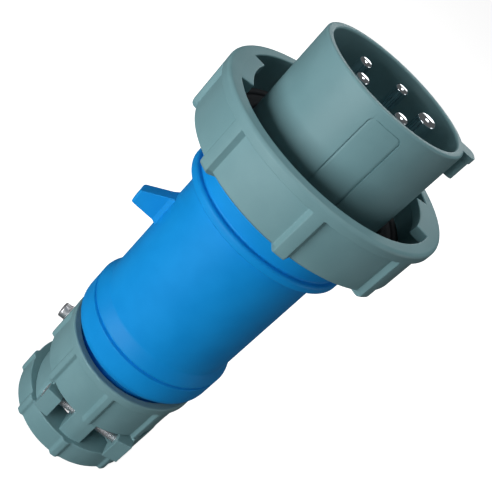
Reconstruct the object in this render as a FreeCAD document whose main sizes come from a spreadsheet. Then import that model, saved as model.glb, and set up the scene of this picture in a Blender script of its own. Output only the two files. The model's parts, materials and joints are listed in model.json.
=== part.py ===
"""Industrial pin and sleeve plug, five poles, with a bayonet ring and a clamping gland nut.

The plug stands on its cable end. +Z runs along the axis to the mouth, +X goes through the key,
and the origin is on the axis at the rear face. All sizes are in millimetres.
"""
import FreeCAD, Part
import os
import math
import Sketcher

DOCUMENT_NAME = "PinAndSleevePlug"
SHEET_NAME = "Sizes"

# Driving dimensions, each written once.
DIMENSIONS = (
    ("fit_gap", 0.3, "free gap between pieces of different bodies"),
    ("running_gap", 0.08, "radial gap of a running fit"),
    ("seat_gap", 0.05, "radial gap of pieces that seat in each other"),
    ("shroud_radius", 28.5, "outer radius of the shroud"),
    ("shroud_wall", 2.7, "wall of the shroud"),
    ("shroud_depth", 39.0, "depth of the shroud, from its rim to the floor"),
    ("shroud_rim_round", 0.9, "rounding of the shroud's rim"),
    ("floor_rise", 4.2, "height of the floor's top above the flange's underside"),
    ("floor_thickness", 6.0, "thickness of the floor the pins stand on"),
    ("flange_thickness", 2.4, "thickness of the carrier's flange"),
    ("flange_gap", 1.7, "radial gap between the flange and the coupling ring"),
    ("skirt_step", 0.5, "how much narrower the skirt is than the shroud"),
    ("skirt_wall", 2.5, "wall of the skirt inside the housing"),
    ("skirt_length", 14.8, "length of the skirt below the flange"),
    ("key_reach", 4.6, "how far the key stands out of the shroud"),
    ("key_width", 7.4, "width of the key"),
    ("key_height", 9.6, "height of the key, down from the rim"),
    ("key_round", 2.6, "rounding of the key's outer corners"),
    ("panel_angle", 24.0, "width of the sunk panel on the shroud, as an angle"),
    ("panel_drop", 3.1, "distance of the panel's top from the rim"),
    ("panel_depth", 0.25, "depth of that panel"),
    ("panel_round", 2.4, "rounding of the panel's upper corners"),
    ("pin_inset", 11.9, "distance of the pins' axes from the shroud's inner wall"),
    ("pin_radius", 2.5, "radius of a phase or neutral pin"),
    ("earth_pin_radius", 3.5, "radius of the earth pin"),
    ("pin_tip_drop", 1.9, "distance of a pin's tip below the rim"),
    ("earth_tip_drop", 0.4, "distance of the earth pin's tip below the rim"),
    ("tip_round_share", 0.55, "rounding of a pin's tip as a share of its radius"),
    ("pin_root_step", 0.4, "how much thicker a pin is inside the floor"),
    ("pin_hole_gap", 0.1, "radial gap of a pin in the floor"),
    ("pin_collar_radius", 5.4, "radius of a pin's collar"),
    ("pin_collar_thickness", 2.0, "thickness of a pin's collar"),
    ("barrel_radius", 4.6, "radius of a pin's wire barrel"),
    ("barrel_length", 22.0, "length of a pin's wire barrel"),
    ("wire_hole_radius", 2.3, "radius of the hole for the wire"),
    ("wire_hole_depth", 13.0, "depth of the hole for the wire"),
    ("terminal_drop", 17.0, "distance of the terminal screws below the floor"),
    ("terminal_radius", 2.0, "radius of a terminal screw"),
    ("terminal_length", 5.0, "length of a terminal screw"),
    ("terminal_slot_width", 0.9, "width of a terminal screw's slot"),
    ("terminal_slot_depth", 1.0, "depth of a terminal screw's slot"),
    ("access_radius", 2.9, "radius of the hole to a terminal screw"),
    ("block_height", 20.0, "height of the contact retainer"),
    ("retainer_screw_radius", 2.4, "radius of the retainer screw's shank"),
    ("retainer_head_radius", 4.2, "radius of the retainer screw's head"),
    ("retainer_head_height", 3.0, "height of the retainer screw's head"),
    ("retainer_screw_grip", 4.0, "length of the screw inside the floor"),
    ("cross_recess_width", 1.2, "width of a cross recess"),
    ("cross_recess_depth", 1.6, "depth of a cross recess"),
    ("cross_recess_share", 0.6, "reach of a cross recess as a share of the head"),
    ("ring_height", 21.8, "height of the coupling ring"),
    ("ring_band", 3.7, "height of the plain band at the ring's front"),
    ("ring_panel_sunk", 1.8, "how far the panels between the ribs are sunk"),
    ("ring_wall", 3.3, "wall of the ring at its panels"),
    ("ring_web", 3.0, "thickness of the ring's rear web"),
    ("ring_web_inset", 0.9, "how far the web lies in front of the rear edge"),
    ("ring_turn_in", 2.8, "how far the panels turn in at the rear edge"),
    ("ring_turn_height", 1.8, "height over which they turn in"),
    ("ring_edge_round", 1.2, "rounding of the ring's front edge"),
    ("ring_heel_round", 2.2, "rounding of the ribs' lower corners"),
    ("ring_rib_width", 4.1, "width of a rib's outer face"),
    ("ring_rib_foot", 6.4, "width of a rib where it leaves the panel"),
    ("rib_count", 8, "ribs round the ring and round the nut"),
    ("claw_count", 2, "bayonet claws"),
    ("claw_height", 4.6, "how far a claw stands in from the ring's wall"),
    ("claw_angle", 33.0, "width of a claw as an angle"),
    ("claw_thickness", 3.8, "thickness of a claw"),
    ("seal_gap", 0.5, "radial gap between the face seal and the shroud"),
    ("seal_width", 9.0, "width of the face seal"),
    ("seal_inset", 0.4, "how far the face seal lies inside the flange's edge"),
    ("seal_thickness", 3.0, "thickness of the face seal"),
    ("collar_wall", 3.85, "wall of the housing's front collar"),
    ("collar_rise", 12.2, "distance of the ring's web above the bead"),
    ("collar_groove", 1.1, "depth of the groove above the bead"),
    ("shoulder_reach", 2.6, "how far the shoulder behind the ring stands out"),
    ("shoulder_thickness", 2.4, "thickness of that shoulder"),
    ("bead_reach", 1.1, "how far the bead stands out of the collar"),
    ("bead_thickness", 3.4, "thickness of the bead"),
    ("bead_round", 1.2, "rounding of the bead's edges"),
    ("tube_step", 0.2, "how much wider the tube is than the skirt"),
    ("tube_wall", 2.5, "wall of the housing's tube"),
    ("tube_rise", 80.7, "height of the bead's top above the swelling's underside"),
    ("swell_reach", 2.3, "how far the rear swelling stands out of the tube"),
    ("swell_height", 20.4, "height of the rear swelling"),
    ("swell_shoulder_rise", 14.6, "height of the swelling's shoulder above its underside"),
    ("swell_foot_rise", 3.0, "height where the swelling starts to turn in"),
    ("swell_foot_inset", 1.6, "how far the swelling turns in"),
    ("swell_round", 3.0, "rounding of the swelling's bends"),
    ("crease_drop", 1.1, "distance of the crease below the shoulder"),
    ("crease_depth", 0.6, "depth of the crease"),
    ("fin_reach", 11.2, "how far the fin stands out of the tube"),
    ("fin_rise", 48.3, "height of the fin above the swelling's underside"),
    ("fin_root_height", 12.2, "height of the fin at its root"),
    ("fin_tip_height", 5.5, "height of the fin at its tip"),
    ("fin_tip_rise", 0.7, "how much higher the fin's lower edge is at its tip"),
    ("fin_thickness", 5.4, "thickness of the fin"),
    ("neck_step", 4.0, "how much narrower the threaded neck is than the tube"),
    ("neck_wall", 3.2, "wall of the threaded neck"),
    ("neck_length", 15.1, "length of the threaded neck"),
    ("seat_length", 3.6, "length of the seal's conical seat"),
    ("throat_step", 4.5, "how much narrower the throat is than the neck's bore"),
    ("throat_thickness", 2.4, "thickness of the throat's web"),
    ("oring_rise", 6.0, "height of the housing seal above the skirt's lower edge"),
    ("oring_section", 2.2, "section of the housing seal"),
    ("oring_squash", 0.3, "how far the groove holds the seal in"),
    ("cable_radius", 8.0, "radius of the cable hole in the gland seal"),
    ("gland_seal_rise", 1.3, "how far the gland seal stands out of the neck"),
    ("washer_gap", 0.7, "how much narrower the thrust washer is than the neck"),
    ("washer_thickness", 2.0, "thickness of the thrust washer"),
    ("nut_wall", 5.1, "thickness of the nut's wall and ribs outside the neck"),
    ("nut_upper_height", 21.9, "height of the nut above its windows"),
    ("nut_space", 3.2, "gap between the nut and the housing's swelling"),
    ("nut_band", 3.6, "height of the nut's plain band"),
    ("nut_panel_sunk", 1.5, "how far the nut's panels are sunk"),
    ("nut_mouth_wall", 2.5, "wall of the nut's open mouth"),
    ("nut_mouth_depth", 3.4, "depth of the nut's open mouth"),
    ("nut_rib_width", 2.6, "width of a rib's outer face on the nut"),
    ("nut_rib_foot", 4.4, "width of a nut rib where it leaves the panel"),
    ("nut_edge", 0.8, "bevel of the nut's outer edges"),
    ("window_height", 14.6, "height of the windows in the nut"),
    ("web_thickness", 3.8, "thickness of the nut's pressing web"),
    ("web_hole_radius", 13.5, "radius of the hole in the pressing web"),
    ("post_width", 10.0, "width of the two posts"),
    ("post_sunk", 3.0, "how far the posts lie inside the ribs' faces"),
    ("post_thickness", 8.0, "thickness of a post"),
    ("foot_height", 10.9, "height of the lower ring"),
    ("foot_sunk", 1.2, "how far the lower ring lies inside the ribs' faces"),
    ("foot_hole_radius", 17.0, "radius of the hole in the lower ring"),
    ("clamp_rise", 8.6, "height of the clamp screws above the lower ring"),
    ("clamp_inset", 5.3, "distance of the clamp screws inside the posts' faces"),
    ("clamp_screw_radius", 2.0, "radius of a clamp screw"),
    ("clamp_screw_length", 36.0, "length of a clamp screw under its head"),
    ("clamp_head_radius", 3.4, "radius of a clamp screw's head"),
    ("clamp_head_height", 3.1, "height of a clamp screw's head"),
    ("clamp_washer_radius", 3.6, "radius of the captive washer"),
    ("clamp_washer_thickness", 0.8, "thickness of the captive washer"),
    ("clamp_hole_gap", 0.25, "radial gap of a clamp screw in its hole"),
    ("clamp_nut_flats", 7.0, "width across the flats of a clamp nut"),
    ("clamp_nut_height", 3.2, "height of a clamp nut"),
    ("clamp_nut_gap", 0.1, "gap round a clamp nut in its pocket"),
    ("far_screw_drawn", 12.3, "how far the far screw is drawn back"),
    ("left_gap", 10.6, "distance of the left lugs from the axis"),
    ("jaw_shift", 2.8, "how much further out the right jaw stands"),
    ("lug_inset", 4.2, "distance of the screw's seat from the lug's face"),
    ("lug_reach", 5.0, "distance of a lug's outer face from the screw's axis"),
    ("lug_width", 9.0, "width of a lug, in from its outer face"),
    ("lug_upper_gap", 1.1, "gap between a lug and the window's upper edge"),
    ("lug_lower_gap", 1.7, "gap between a lug and the window's lower edge"),
    ("jaw_back", 14.2, "depth of a jaw at its middle, behind the lug's face"),
    ("jaw_shoulder", 8.5, "depth of a jaw at its lugs, behind the lug's face"),
    ("jaw_end_inset", 5.6, "distance of the curved back's ends from the lugs' outer faces"),
    ("jaw_nose", 4.0, "how far the nose stands in front of the lug's face"),
    ("jaw_nose_half", 13.0, "half the width of the nose"),
    ("saddle_depth", 3.2, "depth of the saddle in the nose"),
    ("saddle_half", 8.0, "half the width of the saddle"),
)

# Sizes that follow from the ones above, up from the rear face and out from the axis.
DERIVED = (
    ("window_bottom", "foot_height", "lower edge of the windows"),
    ("window_top", "foot_height + window_height", "upper edge of the windows"),
    ("nut_top", "window_top + nut_upper_height", "front face of the gland nut"),
    ("swell_bottom", "nut_top + nut_space", "underside of the rear swelling"),
    ("swell_top", "swell_bottom + swell_height", "height where the swelling starts"),
    ("swell_shoulder", "swell_bottom + swell_shoulder_rise", "height of its shoulder"),
    ("swell_foot", "swell_bottom + swell_foot_rise", "height where it turns in"),
    ("crease_height", "swell_shoulder - crease_drop", "height of the crease"),
    ("neck_bottom", "swell_bottom - neck_length", "lower end of the neck"),
    ("seat_height", "swell_bottom - seat_length", "height where the seal's seat starts"),
    ("gland_seal_bottom", "neck_bottom - gland_seal_rise", "rear face of the gland seal"),
    ("fin_bottom", "swell_bottom + fin_rise", "lower end of the fin's root"),
    ("bead_top", "swell_bottom + tube_rise", "height of the bead's top"),
    ("ring_web_bottom", "bead_top + collar_rise", "rear face of the ring's web"),
    ("ring_bottom", "ring_web_bottom - ring_web_inset", "rear edge of the coupling ring"),
    ("ring_panel_bottom", "ring_bottom + ring_turn_height", "lower edge of the panels"),
    ("ring_front", "ring_bottom + ring_height", "front rim of the coupling ring"),
    ("flange_bottom", "ring_web_bottom + ring_web + fit_gap", "underside of the flange"),
    ("skirt_bottom", "flange_bottom - skirt_length", "height of the skirt's lower edge"),
    ("oring_height", "skirt_bottom + oring_rise", "height of the housing seal"),
    ("floor_top", "flange_bottom + floor_rise", "height of the floor the pins stand on"),
    ("floor_bottom", "floor_top - floor_thickness", "underside of that floor"),
    ("pin_collar_bottom", "floor_bottom - pin_collar_thickness", "underside of the collars"),
    ("block_bottom", "pin_collar_bottom - block_height", "underside of the retainer"),
    ("barrel_bottom", "pin_collar_bottom - barrel_length", "open ends of the barrels"),
    ("terminal_height", "floor_bottom - terminal_drop", "height of the terminal screws"),
    ("mouth_height", "floor_top + shroud_depth", "height of the shroud's rim"),
    ("key_face", "shroud_radius + key_reach", "distance of the key's face from the axis"),
    ("pin_circle", "shroud_radius - shroud_wall - pin_inset", "radius of the circle of pins"),
    ("skirt_radius", "shroud_radius - skirt_step", "outer radius of the skirt"),
    ("block_radius", "skirt_radius - skirt_wall - fit_gap", "radius of the retainer"),
    ("collar_bore", "skirt_radius + seat_gap", "bore of the housing's front collar"),
    ("collar_radius", "collar_bore + collar_wall", "outer radius of the front collar"),
    ("collar_foot_radius", "collar_radius - collar_groove", "radius above the bead"),
    ("shoulder_radius", "collar_radius + shoulder_reach", "radius of the shoulder"),
    ("bead_radius", "collar_radius + bead_reach", "radius of the bead"),
    ("tube_radius", "skirt_radius + tube_step", "outer radius of the housing's tube"),
    ("swell_radius", "tube_radius + swell_reach", "radius of the rear swelling"),
    ("fin_tip", "tube_radius + fin_reach", "distance of the fin's tip from the axis"),
    ("neck_radius", "tube_radius - neck_step", "outer radius of the threaded neck"),
    ("neck_bore", "neck_radius - neck_wall", "bore of the neck"),
    ("throat_radius", "neck_bore - throat_step", "radius of the housing's throat"),
    ("washer_radius", "neck_radius - washer_gap", "outer radius of the thrust washer"),
    ("nut_radius", "neck_radius + nut_wall", "radius of the nut's band and ribs"),
    ("nut_panel_radius", "nut_radius - nut_panel_sunk", "radius of the nut's panels"),
    ("nut_mouth_radius", "nut_radius - nut_mouth_wall", "radius of the nut's open mouth"),
    ("post_radius", "nut_radius - post_sunk", "distance of a post's face from the axis"),
    ("foot_radius", "nut_radius - foot_sunk", "radius of the lower ring"),
    ("seal_inner_radius", "shroud_radius + seal_gap", "inner radius of the face seal"),
    ("seal_outer_radius", "seal_inner_radius + seal_width", "outer radius of the face seal"),
    ("flange_radius", "seal_outer_radius + seal_inset", "radius of the carrier's flange"),
    ("ring_inner_radius", "flange_radius + flange_gap", "inner radius of the ring"),
    ("claw_tip", "ring_inner_radius - claw_height", "distance of a claw's tip from the axis"),
    ("ring_panel_radius", "ring_inner_radius + ring_wall", "radius of the ring's panels"),
    ("ring_radius", "ring_panel_radius + ring_panel_sunk", "outer radius of the ring's ribs"),
    ("clamp_height", "foot_height + clamp_rise", "height of the clamp screws"),
    ("clamp_offset", "post_radius - clamp_inset", "distance of those screws from the axis"),
    ("lug_face", "clamp_offset + lug_reach", "distance of a lug's outer face from the axis"),
    ("right_gap", "left_gap + jaw_shift", "distance of the right lugs from the axis"),
)


class Size:
    """A length that holds its value and the formula that binds it to the sheet."""

    def __init__(self, text, number):
        self.text = text
        self.number = number

    def combined(self, other, sign, number):
        return Size("(%s %s %s)" % (self.text, sign, as_size(other).text), number)

    def __add__(self, other):
        return self.combined(other, "+", self.number + as_size(other).number)

    def __sub__(self, other):
        return self.combined(other, "-", self.number - as_size(other).number)

    def __mul__(self, other):
        return self.combined(other, "*", self.number * as_size(other).number)

    def __truediv__(self, other):
        return self.combined(other, "/", self.number / as_size(other).number)

    def __neg__(self):
        return Size("(-1 * %s)" % self.text, -self.number)


def as_size(value):
    """A plain number as a length without a cell of its own."""
    return value if isinstance(value, Size) else Size(repr(value), value)


class Sizes:
    """The dimensions as attributes."""


def make_sheet(doc):
    """Write the dimensions to the spreadsheet, derived ones as formulas, and return them."""
    sheet = doc.addObject("Spreadsheet::Sheet", SHEET_NAME)
    rows = [(alias, str(value), meaning) for alias, value, meaning in DIMENSIONS]
    rows += [(alias, "=" + formula, meaning) for alias, formula, meaning in DERIVED]
    for row, (alias, content, meaning) in enumerate(rows, start=1):
        sheet.set("A%d" % row, alias)
        sheet.set("B%d" % row, content)
        sheet.set("C%d" % row, meaning)
        sheet.setAlias("B%d" % row, alias)
    doc.recompute()
    sizes = Sizes()
    for alias, content, meaning in rows:
        setattr(sizes, alias, Size("%s.%s" % (SHEET_NAME, alias), float(sheet.get(alias))))
    return sizes


ZERO = Size("0", 0.0)
CLOSE = 1e-4


def new_body(doc, name):
    """A body whose label names the piece and its file."""
    body = doc.addObject("PartDesign::Body", name)
    body.Label = name
    return body


def origin_part(body, role):
    """One of the body's own origin planes or axes."""
    return [part for part in body.Origin.OriginFeatures if part.Role == role][0]


def new_sketch(body, name, plane):
    """An empty sketch on one of the body's origin planes."""
    sketch = body.newObject("Sketcher::SketchObject", name)
    sketch.AttachmentSupport = (origin_part(body, plane), "")
    sketch.MapMode = "FlatFace"
    return sketch


def bind(sketch, constraint, size):
    """Add one dimension to a sketch and tie it to its formula."""
    index = sketch.addConstraint(constraint)
    sketch.setExpression("Constraints[%d]" % index, size.text)


def pin_point(sketch, line, end, point):
    """Hold the end of an edge at a pair of sizes, measured from the origin."""
    across, up = point
    kinds = (("DistanceX", across, -2), ("DistanceY", up, -1))
    for kind, size, axis in kinds:
        if size is ZERO:
            sketch.addConstraint(Sketcher.Constraint("PointOnObject", line, end, axis))
        else:
            bind(sketch, Sketcher.Constraint(kind, -1, 1, line, end, size.number), size)


def vector(point):
    """A sketch point from a pair of sizes."""
    return FreeCAD.Vector(point[0].number, point[1].number, 0)


def add_outline(sketch, corners, bulges=None):
    """Draw a closed outline through its corners.

    bulges maps the number of an edge to the point its arc passes through. Other edges are
    straight.
    """
    bulges = bulges or {}
    count = len(corners)
    edges = []
    for number in range(count):
        start = vector(corners[number])
        end = vector(corners[(number + 1) % count])
        if number in bulges:
            arc = Part.Arc(start, vector(bulges[number]), end)
            edges.append(sketch.addGeometry(arc, False))
        else:
            edges.append(sketch.addGeometry(Part.LineSegment(start, end), False))
    starts = []
    for number, edge in enumerate(edges):
        begins = sketch.getPoint(edge, 1)
        forward = begins.distanceToPoint(vector(corners[number])) < CLOSE
        starts.append((1, 2) if forward else (2, 1))
    for number, edge in enumerate(edges):
        following = (number + 1) % count
        joint = (edge, starts[number][1], edges[following], starts[following][0])
        sketch.addConstraint(Sketcher.Constraint("Coincident", *joint))
        pin_point(sketch, edge, starts[number][0], corners[number])
    for number, middle in bulges.items():
        place = sketch.addGeometry(Part.Point(vector(middle)), True)
        pin_point(sketch, place, 1, middle)
        sketch.addConstraint(Sketcher.Constraint("PointOnObject", place, 1, edges[number]))


def add_circle(sketch, centre, radius):
    """Draw a circle at a pair of sizes."""
    circle = sketch.addGeometry(
        Part.Circle(vector(centre), FreeCAD.Vector(0, 0, 1), radius.number), False)
    bind(sketch, Sketcher.Constraint("Radius", circle, radius.number), radius)
    pin_point(sketch, circle, 3, centre)


def revolve(body, name, corners, bulges=None, cut=False, angle=None, plane="XZ_Plane"):
    """Turn an outline of radius and height about the body's own Z axis."""
    sketch = new_sketch(body, name + "Outline", plane)
    add_outline(sketch, corners, bulges)
    kind = "PartDesign::Groove" if cut else "PartDesign::Revolution"
    feature = body.newObject(kind, name)
    feature.Profile = sketch
    feature.ReferenceAxis = (sketch, ["V_Axis"])
    feature.Angle = 360
    if angle is not None:
        feature.Midplane = True
        feature.setExpression("Angle", angle.text)
    body.Document.recompute()
    return feature


def extrude(body, name, plane, low, high, corners=None, bulges=None, circles=(), cut=False):
    """Pad or pocket an outline, or circles, from one height to another along its plane's axis."""
    sketch = new_sketch(body, name + "Outline", plane)
    if corners:
        add_outline(sketch, corners, bulges)
    for centre, radius in circles:
        add_circle(sketch, centre, radius)
    sketch.setExpression("AttachmentOffset.Base.z", low.text)
    body.Document.recompute()
    feature = body.newObject("PartDesign::Pocket" if cut else "PartDesign::Pad", name)
    feature.Profile = sketch
    feature.Reversed = cut
    feature.setExpression("Length", (high - low).text)
    body.Document.recompute()
    return feature


def ring_of(body, name, features, count, axis="Z_Axis"):
    """Repeat features round an axis of the body."""
    pattern = body.newObject("PartDesign::PolarPattern", name)
    pattern.Originals = features
    pattern.Axis = (origin_part(body, axis), [""])
    pattern.Angle = 360
    pattern.setExpression("Occurrences", count.text)
    body.Tip = pattern
    body.Document.recompute()
    return pattern


def round_edges(body, name, radius, chosen):
    """Round the edges of a body that a test chooses."""
    base = body.Tip
    found = ["Edge%d" % number for number, edge in enumerate(base.Shape.Edges, start=1)
             if chosen(edge)]
    fillet = body.newObject("PartDesign::Fillet", name)
    fillet.Base = (base, found)
    fillet.setExpression("Radius", radius.text)
    body.Document.recompute()
    return fillet


def round_circles(body, name, radius, places):
    """Round the circular edges of a body that lie at the given radii and heights."""
    def chosen(edge):
        curve = edge.Curve
        if not isinstance(curve, Part.Circle):
            return False
        return any(abs(curve.Radius - reach.number) < CLOSE
                   and abs(curve.Center.z - height.number) < CLOSE for reach, height in places)
    return round_edges(body, name, radius, chosen)


def lies_upright_at(reach, edge):
    """Whether an edge is upright and stands at a distance along X."""
    box = edge.BoundBox
    upright = box.XLength < CLOSE and box.YLength < CLOSE
    return upright and abs(box.XMin - reach.number) < CLOSE


def rectangle(low_x, low_y, high_x, high_y):
    """The corners of an upright rectangle."""
    return [(low_x, low_y), (high_x, low_y), (high_x, high_y), (low_x, high_y)]


def place(body, x=ZERO, y=ZERO, z=ZERO, axis=None, angle=0):
    """Set a body's place from sizes, and its turn about an axis in degrees."""
    turn = FreeCAD.Rotation(axis or FreeCAD.Vector(0, 0, 1), angle)
    body.Placement = FreeCAD.Placement(FreeCAD.Vector(x.number, y.number, z.number), turn)
    for letter, size in (("x", x), ("y", y), ("z", z)):
        if size is not ZERO:
            body.setExpression("Placement.Base." + letter, size.text)


def on_pin_circle(d, angle):
    """Where a pin stands, as a pair of sizes."""
    across = d.pin_circle * round(math.cos(math.radians(angle)), 9)
    along = d.pin_circle * round(math.sin(math.radians(angle)), 9)
    return across, along


# The earth pin stands at the key, and the others follow round the circle.
POLES = ("earth", "l1", "l2", "l3", "neutral")
PIN_ANGLES = {pole: 360 * number / len(POLES) for number, pole in enumerate(POLES)}


def pin_sizes(d, pole):
    """Radius and tip height of one pin."""
    if pole == "earth":
        return d.earth_pin_radius, d.mouth_height - d.earth_tip_drop
    return d.pin_radius, d.mouth_height - d.pin_tip_drop


def is_panel_corner(d, edge):
    """Whether an edge is one of the short ones at the upper corners of the shroud's panel."""
    box = edge.BoundBox
    level = box.ZLength < CLOSE and abs(box.ZMin - (d.mouth_height - d.panel_drop).number) < CLOSE
    return level and edge.Length < d.panel_depth.number + CLOSE


def make_carrier(doc, d):
    """Shroud with its key, floor, flange and skirt: one moulding."""
    body = new_body(doc, "contact_carrier")
    inner = d.shroud_radius - d.shroud_wall
    flange_top = d.flange_bottom + d.flange_thickness
    skirt_inner = d.skirt_radius - d.skirt_wall
    revolve(body, "Shell", [
        (ZERO, d.floor_bottom),
        (skirt_inner, d.floor_bottom),
        (skirt_inner, d.skirt_bottom),
        (d.skirt_radius, d.skirt_bottom),
        (d.skirt_radius, d.flange_bottom),
        (d.flange_radius, d.flange_bottom),
        (d.flange_radius, flange_top),
        (d.shroud_radius, flange_top),
        (d.shroud_radius, d.mouth_height),
        (inner, d.mouth_height),
        (inner, d.floor_top),
        (ZERO, d.floor_top),
    ])
    groove_low = d.oring_height - d.oring_section / 2
    groove_high = d.oring_height + d.oring_section / 2
    groove_depth = d.skirt_radius - d.oring_section + d.oring_squash
    revolve(body, "SealGroove", rectangle(
        groove_depth, groove_low, d.skirt_radius + d.fit_gap, groove_high), cut=True)
    panel_deep = d.shroud_radius - d.panel_depth
    panel_top = d.mouth_height - d.panel_drop
    revolve(body, "Panel", rectangle(
        -(d.shroud_radius + d.fit_gap), flange_top, -panel_deep, panel_top),
        cut=True, angle=d.panel_angle, plane="YZ_Plane")
    round_edges(body, "PanelCorners", d.panel_round, lambda edge: is_panel_corner(d, edge))
    round_circles(body, "RimRound", d.shroud_rim_round, [
        (inner, d.mouth_height), (d.shroud_radius, d.mouth_height)])
    key_half = d.key_width / 2
    extrude(body, "Key", "XY_Plane", d.mouth_height - d.key_height, d.mouth_height, rectangle(
        d.shroud_radius - d.shroud_wall / 2, -key_half, d.key_face, key_half))
    round_edges(body, "KeyRound", d.key_round, lambda edge: lies_upright_at(d.key_face, edge))
    circles = []
    for pole, angle in PIN_ANGLES.items():
        radius, tip = pin_sizes(d, pole)
        circles.append((on_pin_circle(d, angle), radius + d.pin_root_step + d.pin_hole_gap))
    extrude(body, "PinHoles", "XY_Plane", d.floor_bottom - d.fit_gap, d.floor_top + d.fit_gap,
            circles=circles, cut=True)
    extrude(body, "ScrewHole", "XY_Plane", d.floor_bottom - d.fit_gap,
            d.floor_bottom + d.retainer_screw_grip + d.fit_gap,
            circles=[((ZERO, ZERO), d.retainer_screw_radius + d.seat_gap)], cut=True)
    return body


def make_pin(doc, d, pole):
    """A solid pin with its collar and wire barrel, made on the axis and then placed."""
    body = new_body(doc, "pin_" + pole)
    radius, tip = pin_sizes(d, pole)
    root = radius + d.pin_root_step
    revolve(body, "Turned", [
        (ZERO, d.barrel_bottom),
        (d.barrel_radius, d.barrel_bottom),
        (d.barrel_radius, d.pin_collar_bottom),
        (d.pin_collar_radius, d.pin_collar_bottom),
        (d.pin_collar_radius, d.floor_bottom),
        (root, d.floor_bottom),
        (root, d.floor_top),
        (radius, d.floor_top),
        (radius, tip),
        (ZERO, tip),
    ])
    round_circles(body, "TipRound", radius * d.tip_round_share, [(radius, tip)])
    extrude(body, "WireHole", "XY_Plane", d.barrel_bottom - d.fit_gap,
            d.barrel_bottom + d.wire_hole_depth,
            circles=[((ZERO, ZERO), d.wire_hole_radius)], cut=True)
    extrude(body, "ScrewHole", "YZ_Plane", ZERO, d.barrel_radius + d.fit_gap,
            circles=[((ZERO, d.terminal_height), d.terminal_radius + d.seat_gap)], cut=True)
    angle = PIN_ANGLES[pole]
    across, along = on_pin_circle(d, angle)
    place(body, across, along if angle else ZERO, angle=angle)
    return body


def make_terminal_screw(doc, d, pole):
    """A slotted grub screw that reaches into the pin's barrel."""
    body = new_body(doc, "terminal_screw_" + pole)
    start = d.pin_circle + d.wire_hole_radius
    extrude(body, "Shank", "YZ_Plane", start, start + d.terminal_length,
            circles=[((ZERO, d.terminal_height), d.terminal_radius)])
    slot = d.terminal_slot_width / 2
    reach = d.terminal_radius + d.fit_gap
    end = start + d.terminal_length
    extrude(body, "Slot", "YZ_Plane", end - d.terminal_slot_depth, end + d.fit_gap, rectangle(
        -reach, d.terminal_height - slot, reach, d.terminal_height + slot), cut=True)
    place(body, angle=PIN_ANGLES[pole])
    return body


def make_retainer(doc, d):
    """Insulating block that traps the pins' collars against the floor."""
    body = new_body(doc, "contact_retainer")
    top = d.pin_collar_bottom
    extrude(body, "Disc", "XY_Plane", d.block_bottom, top, circles=[((ZERO, ZERO), d.block_radius)])
    holes = [(on_pin_circle(d, angle), d.barrel_radius + d.fit_gap)
             for angle in PIN_ANGLES.values()]
    holes.append(((ZERO, ZERO), d.retainer_screw_radius + d.clamp_hole_gap))
    extrude(body, "Holes", "XY_Plane", d.block_bottom - d.fit_gap, top + d.fit_gap,
            circles=holes, cut=True)
    access = extrude(body, "Access", "YZ_Plane", d.pin_circle, d.block_radius + d.fit_gap,
                     circles=[((ZERO, d.terminal_height), d.access_radius)], cut=True)
    ring_of(body, "AccessHoles", [access], Size(str(len(POLES)), len(POLES)))
    return body


def cut_cross(body, name, d, plane, low, high, centre, reach):
    """Cut a cross recess between two heights, about a centre."""
    half = d.cross_recess_width / 2
    x, y = centre
    extrude(body, name + "Across", plane, low, high, rectangle(
        x - reach, y - half, x + reach, y + half), cut=True)
    extrude(body, name + "Upright", plane, low, high, rectangle(
        x - half, y - reach, x + half, y + reach), cut=True)


def make_retainer_screw(doc, d):
    """Screw that holds the block to the carrier's floor, head to the rear."""
    body = new_body(doc, "retainer_screw")
    head_bottom = d.block_bottom - d.retainer_head_height
    tip = d.floor_bottom + d.retainer_screw_grip
    revolve(body, "Turned", [
        (ZERO, head_bottom),
        (d.retainer_head_radius, head_bottom),
        (d.retainer_head_radius, d.block_bottom),
        (d.retainer_screw_radius, d.block_bottom),
        (d.retainer_screw_radius, tip - d.retainer_screw_radius / 2),
        (d.retainer_screw_radius / 2, tip),
        (ZERO, tip),
    ])
    cut_cross(body, "Recess", d, "XY_Plane", head_bottom - d.fit_gap,
              head_bottom + d.cross_recess_depth, (ZERO, ZERO),
              d.retainer_head_radius * d.cross_recess_share)
    return body


def rib_outline(root, panel, crest, foot, face):
    """A rib's section: straight flanks inside the wall, slanted ones outside the panel.

    foot and face are half the widths at the panel and at the rib's outer face.
    """
    return [(root, -foot), (panel, -foot), (crest, -face),
            (crest, face), (panel, foot), (root, foot)]


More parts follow.
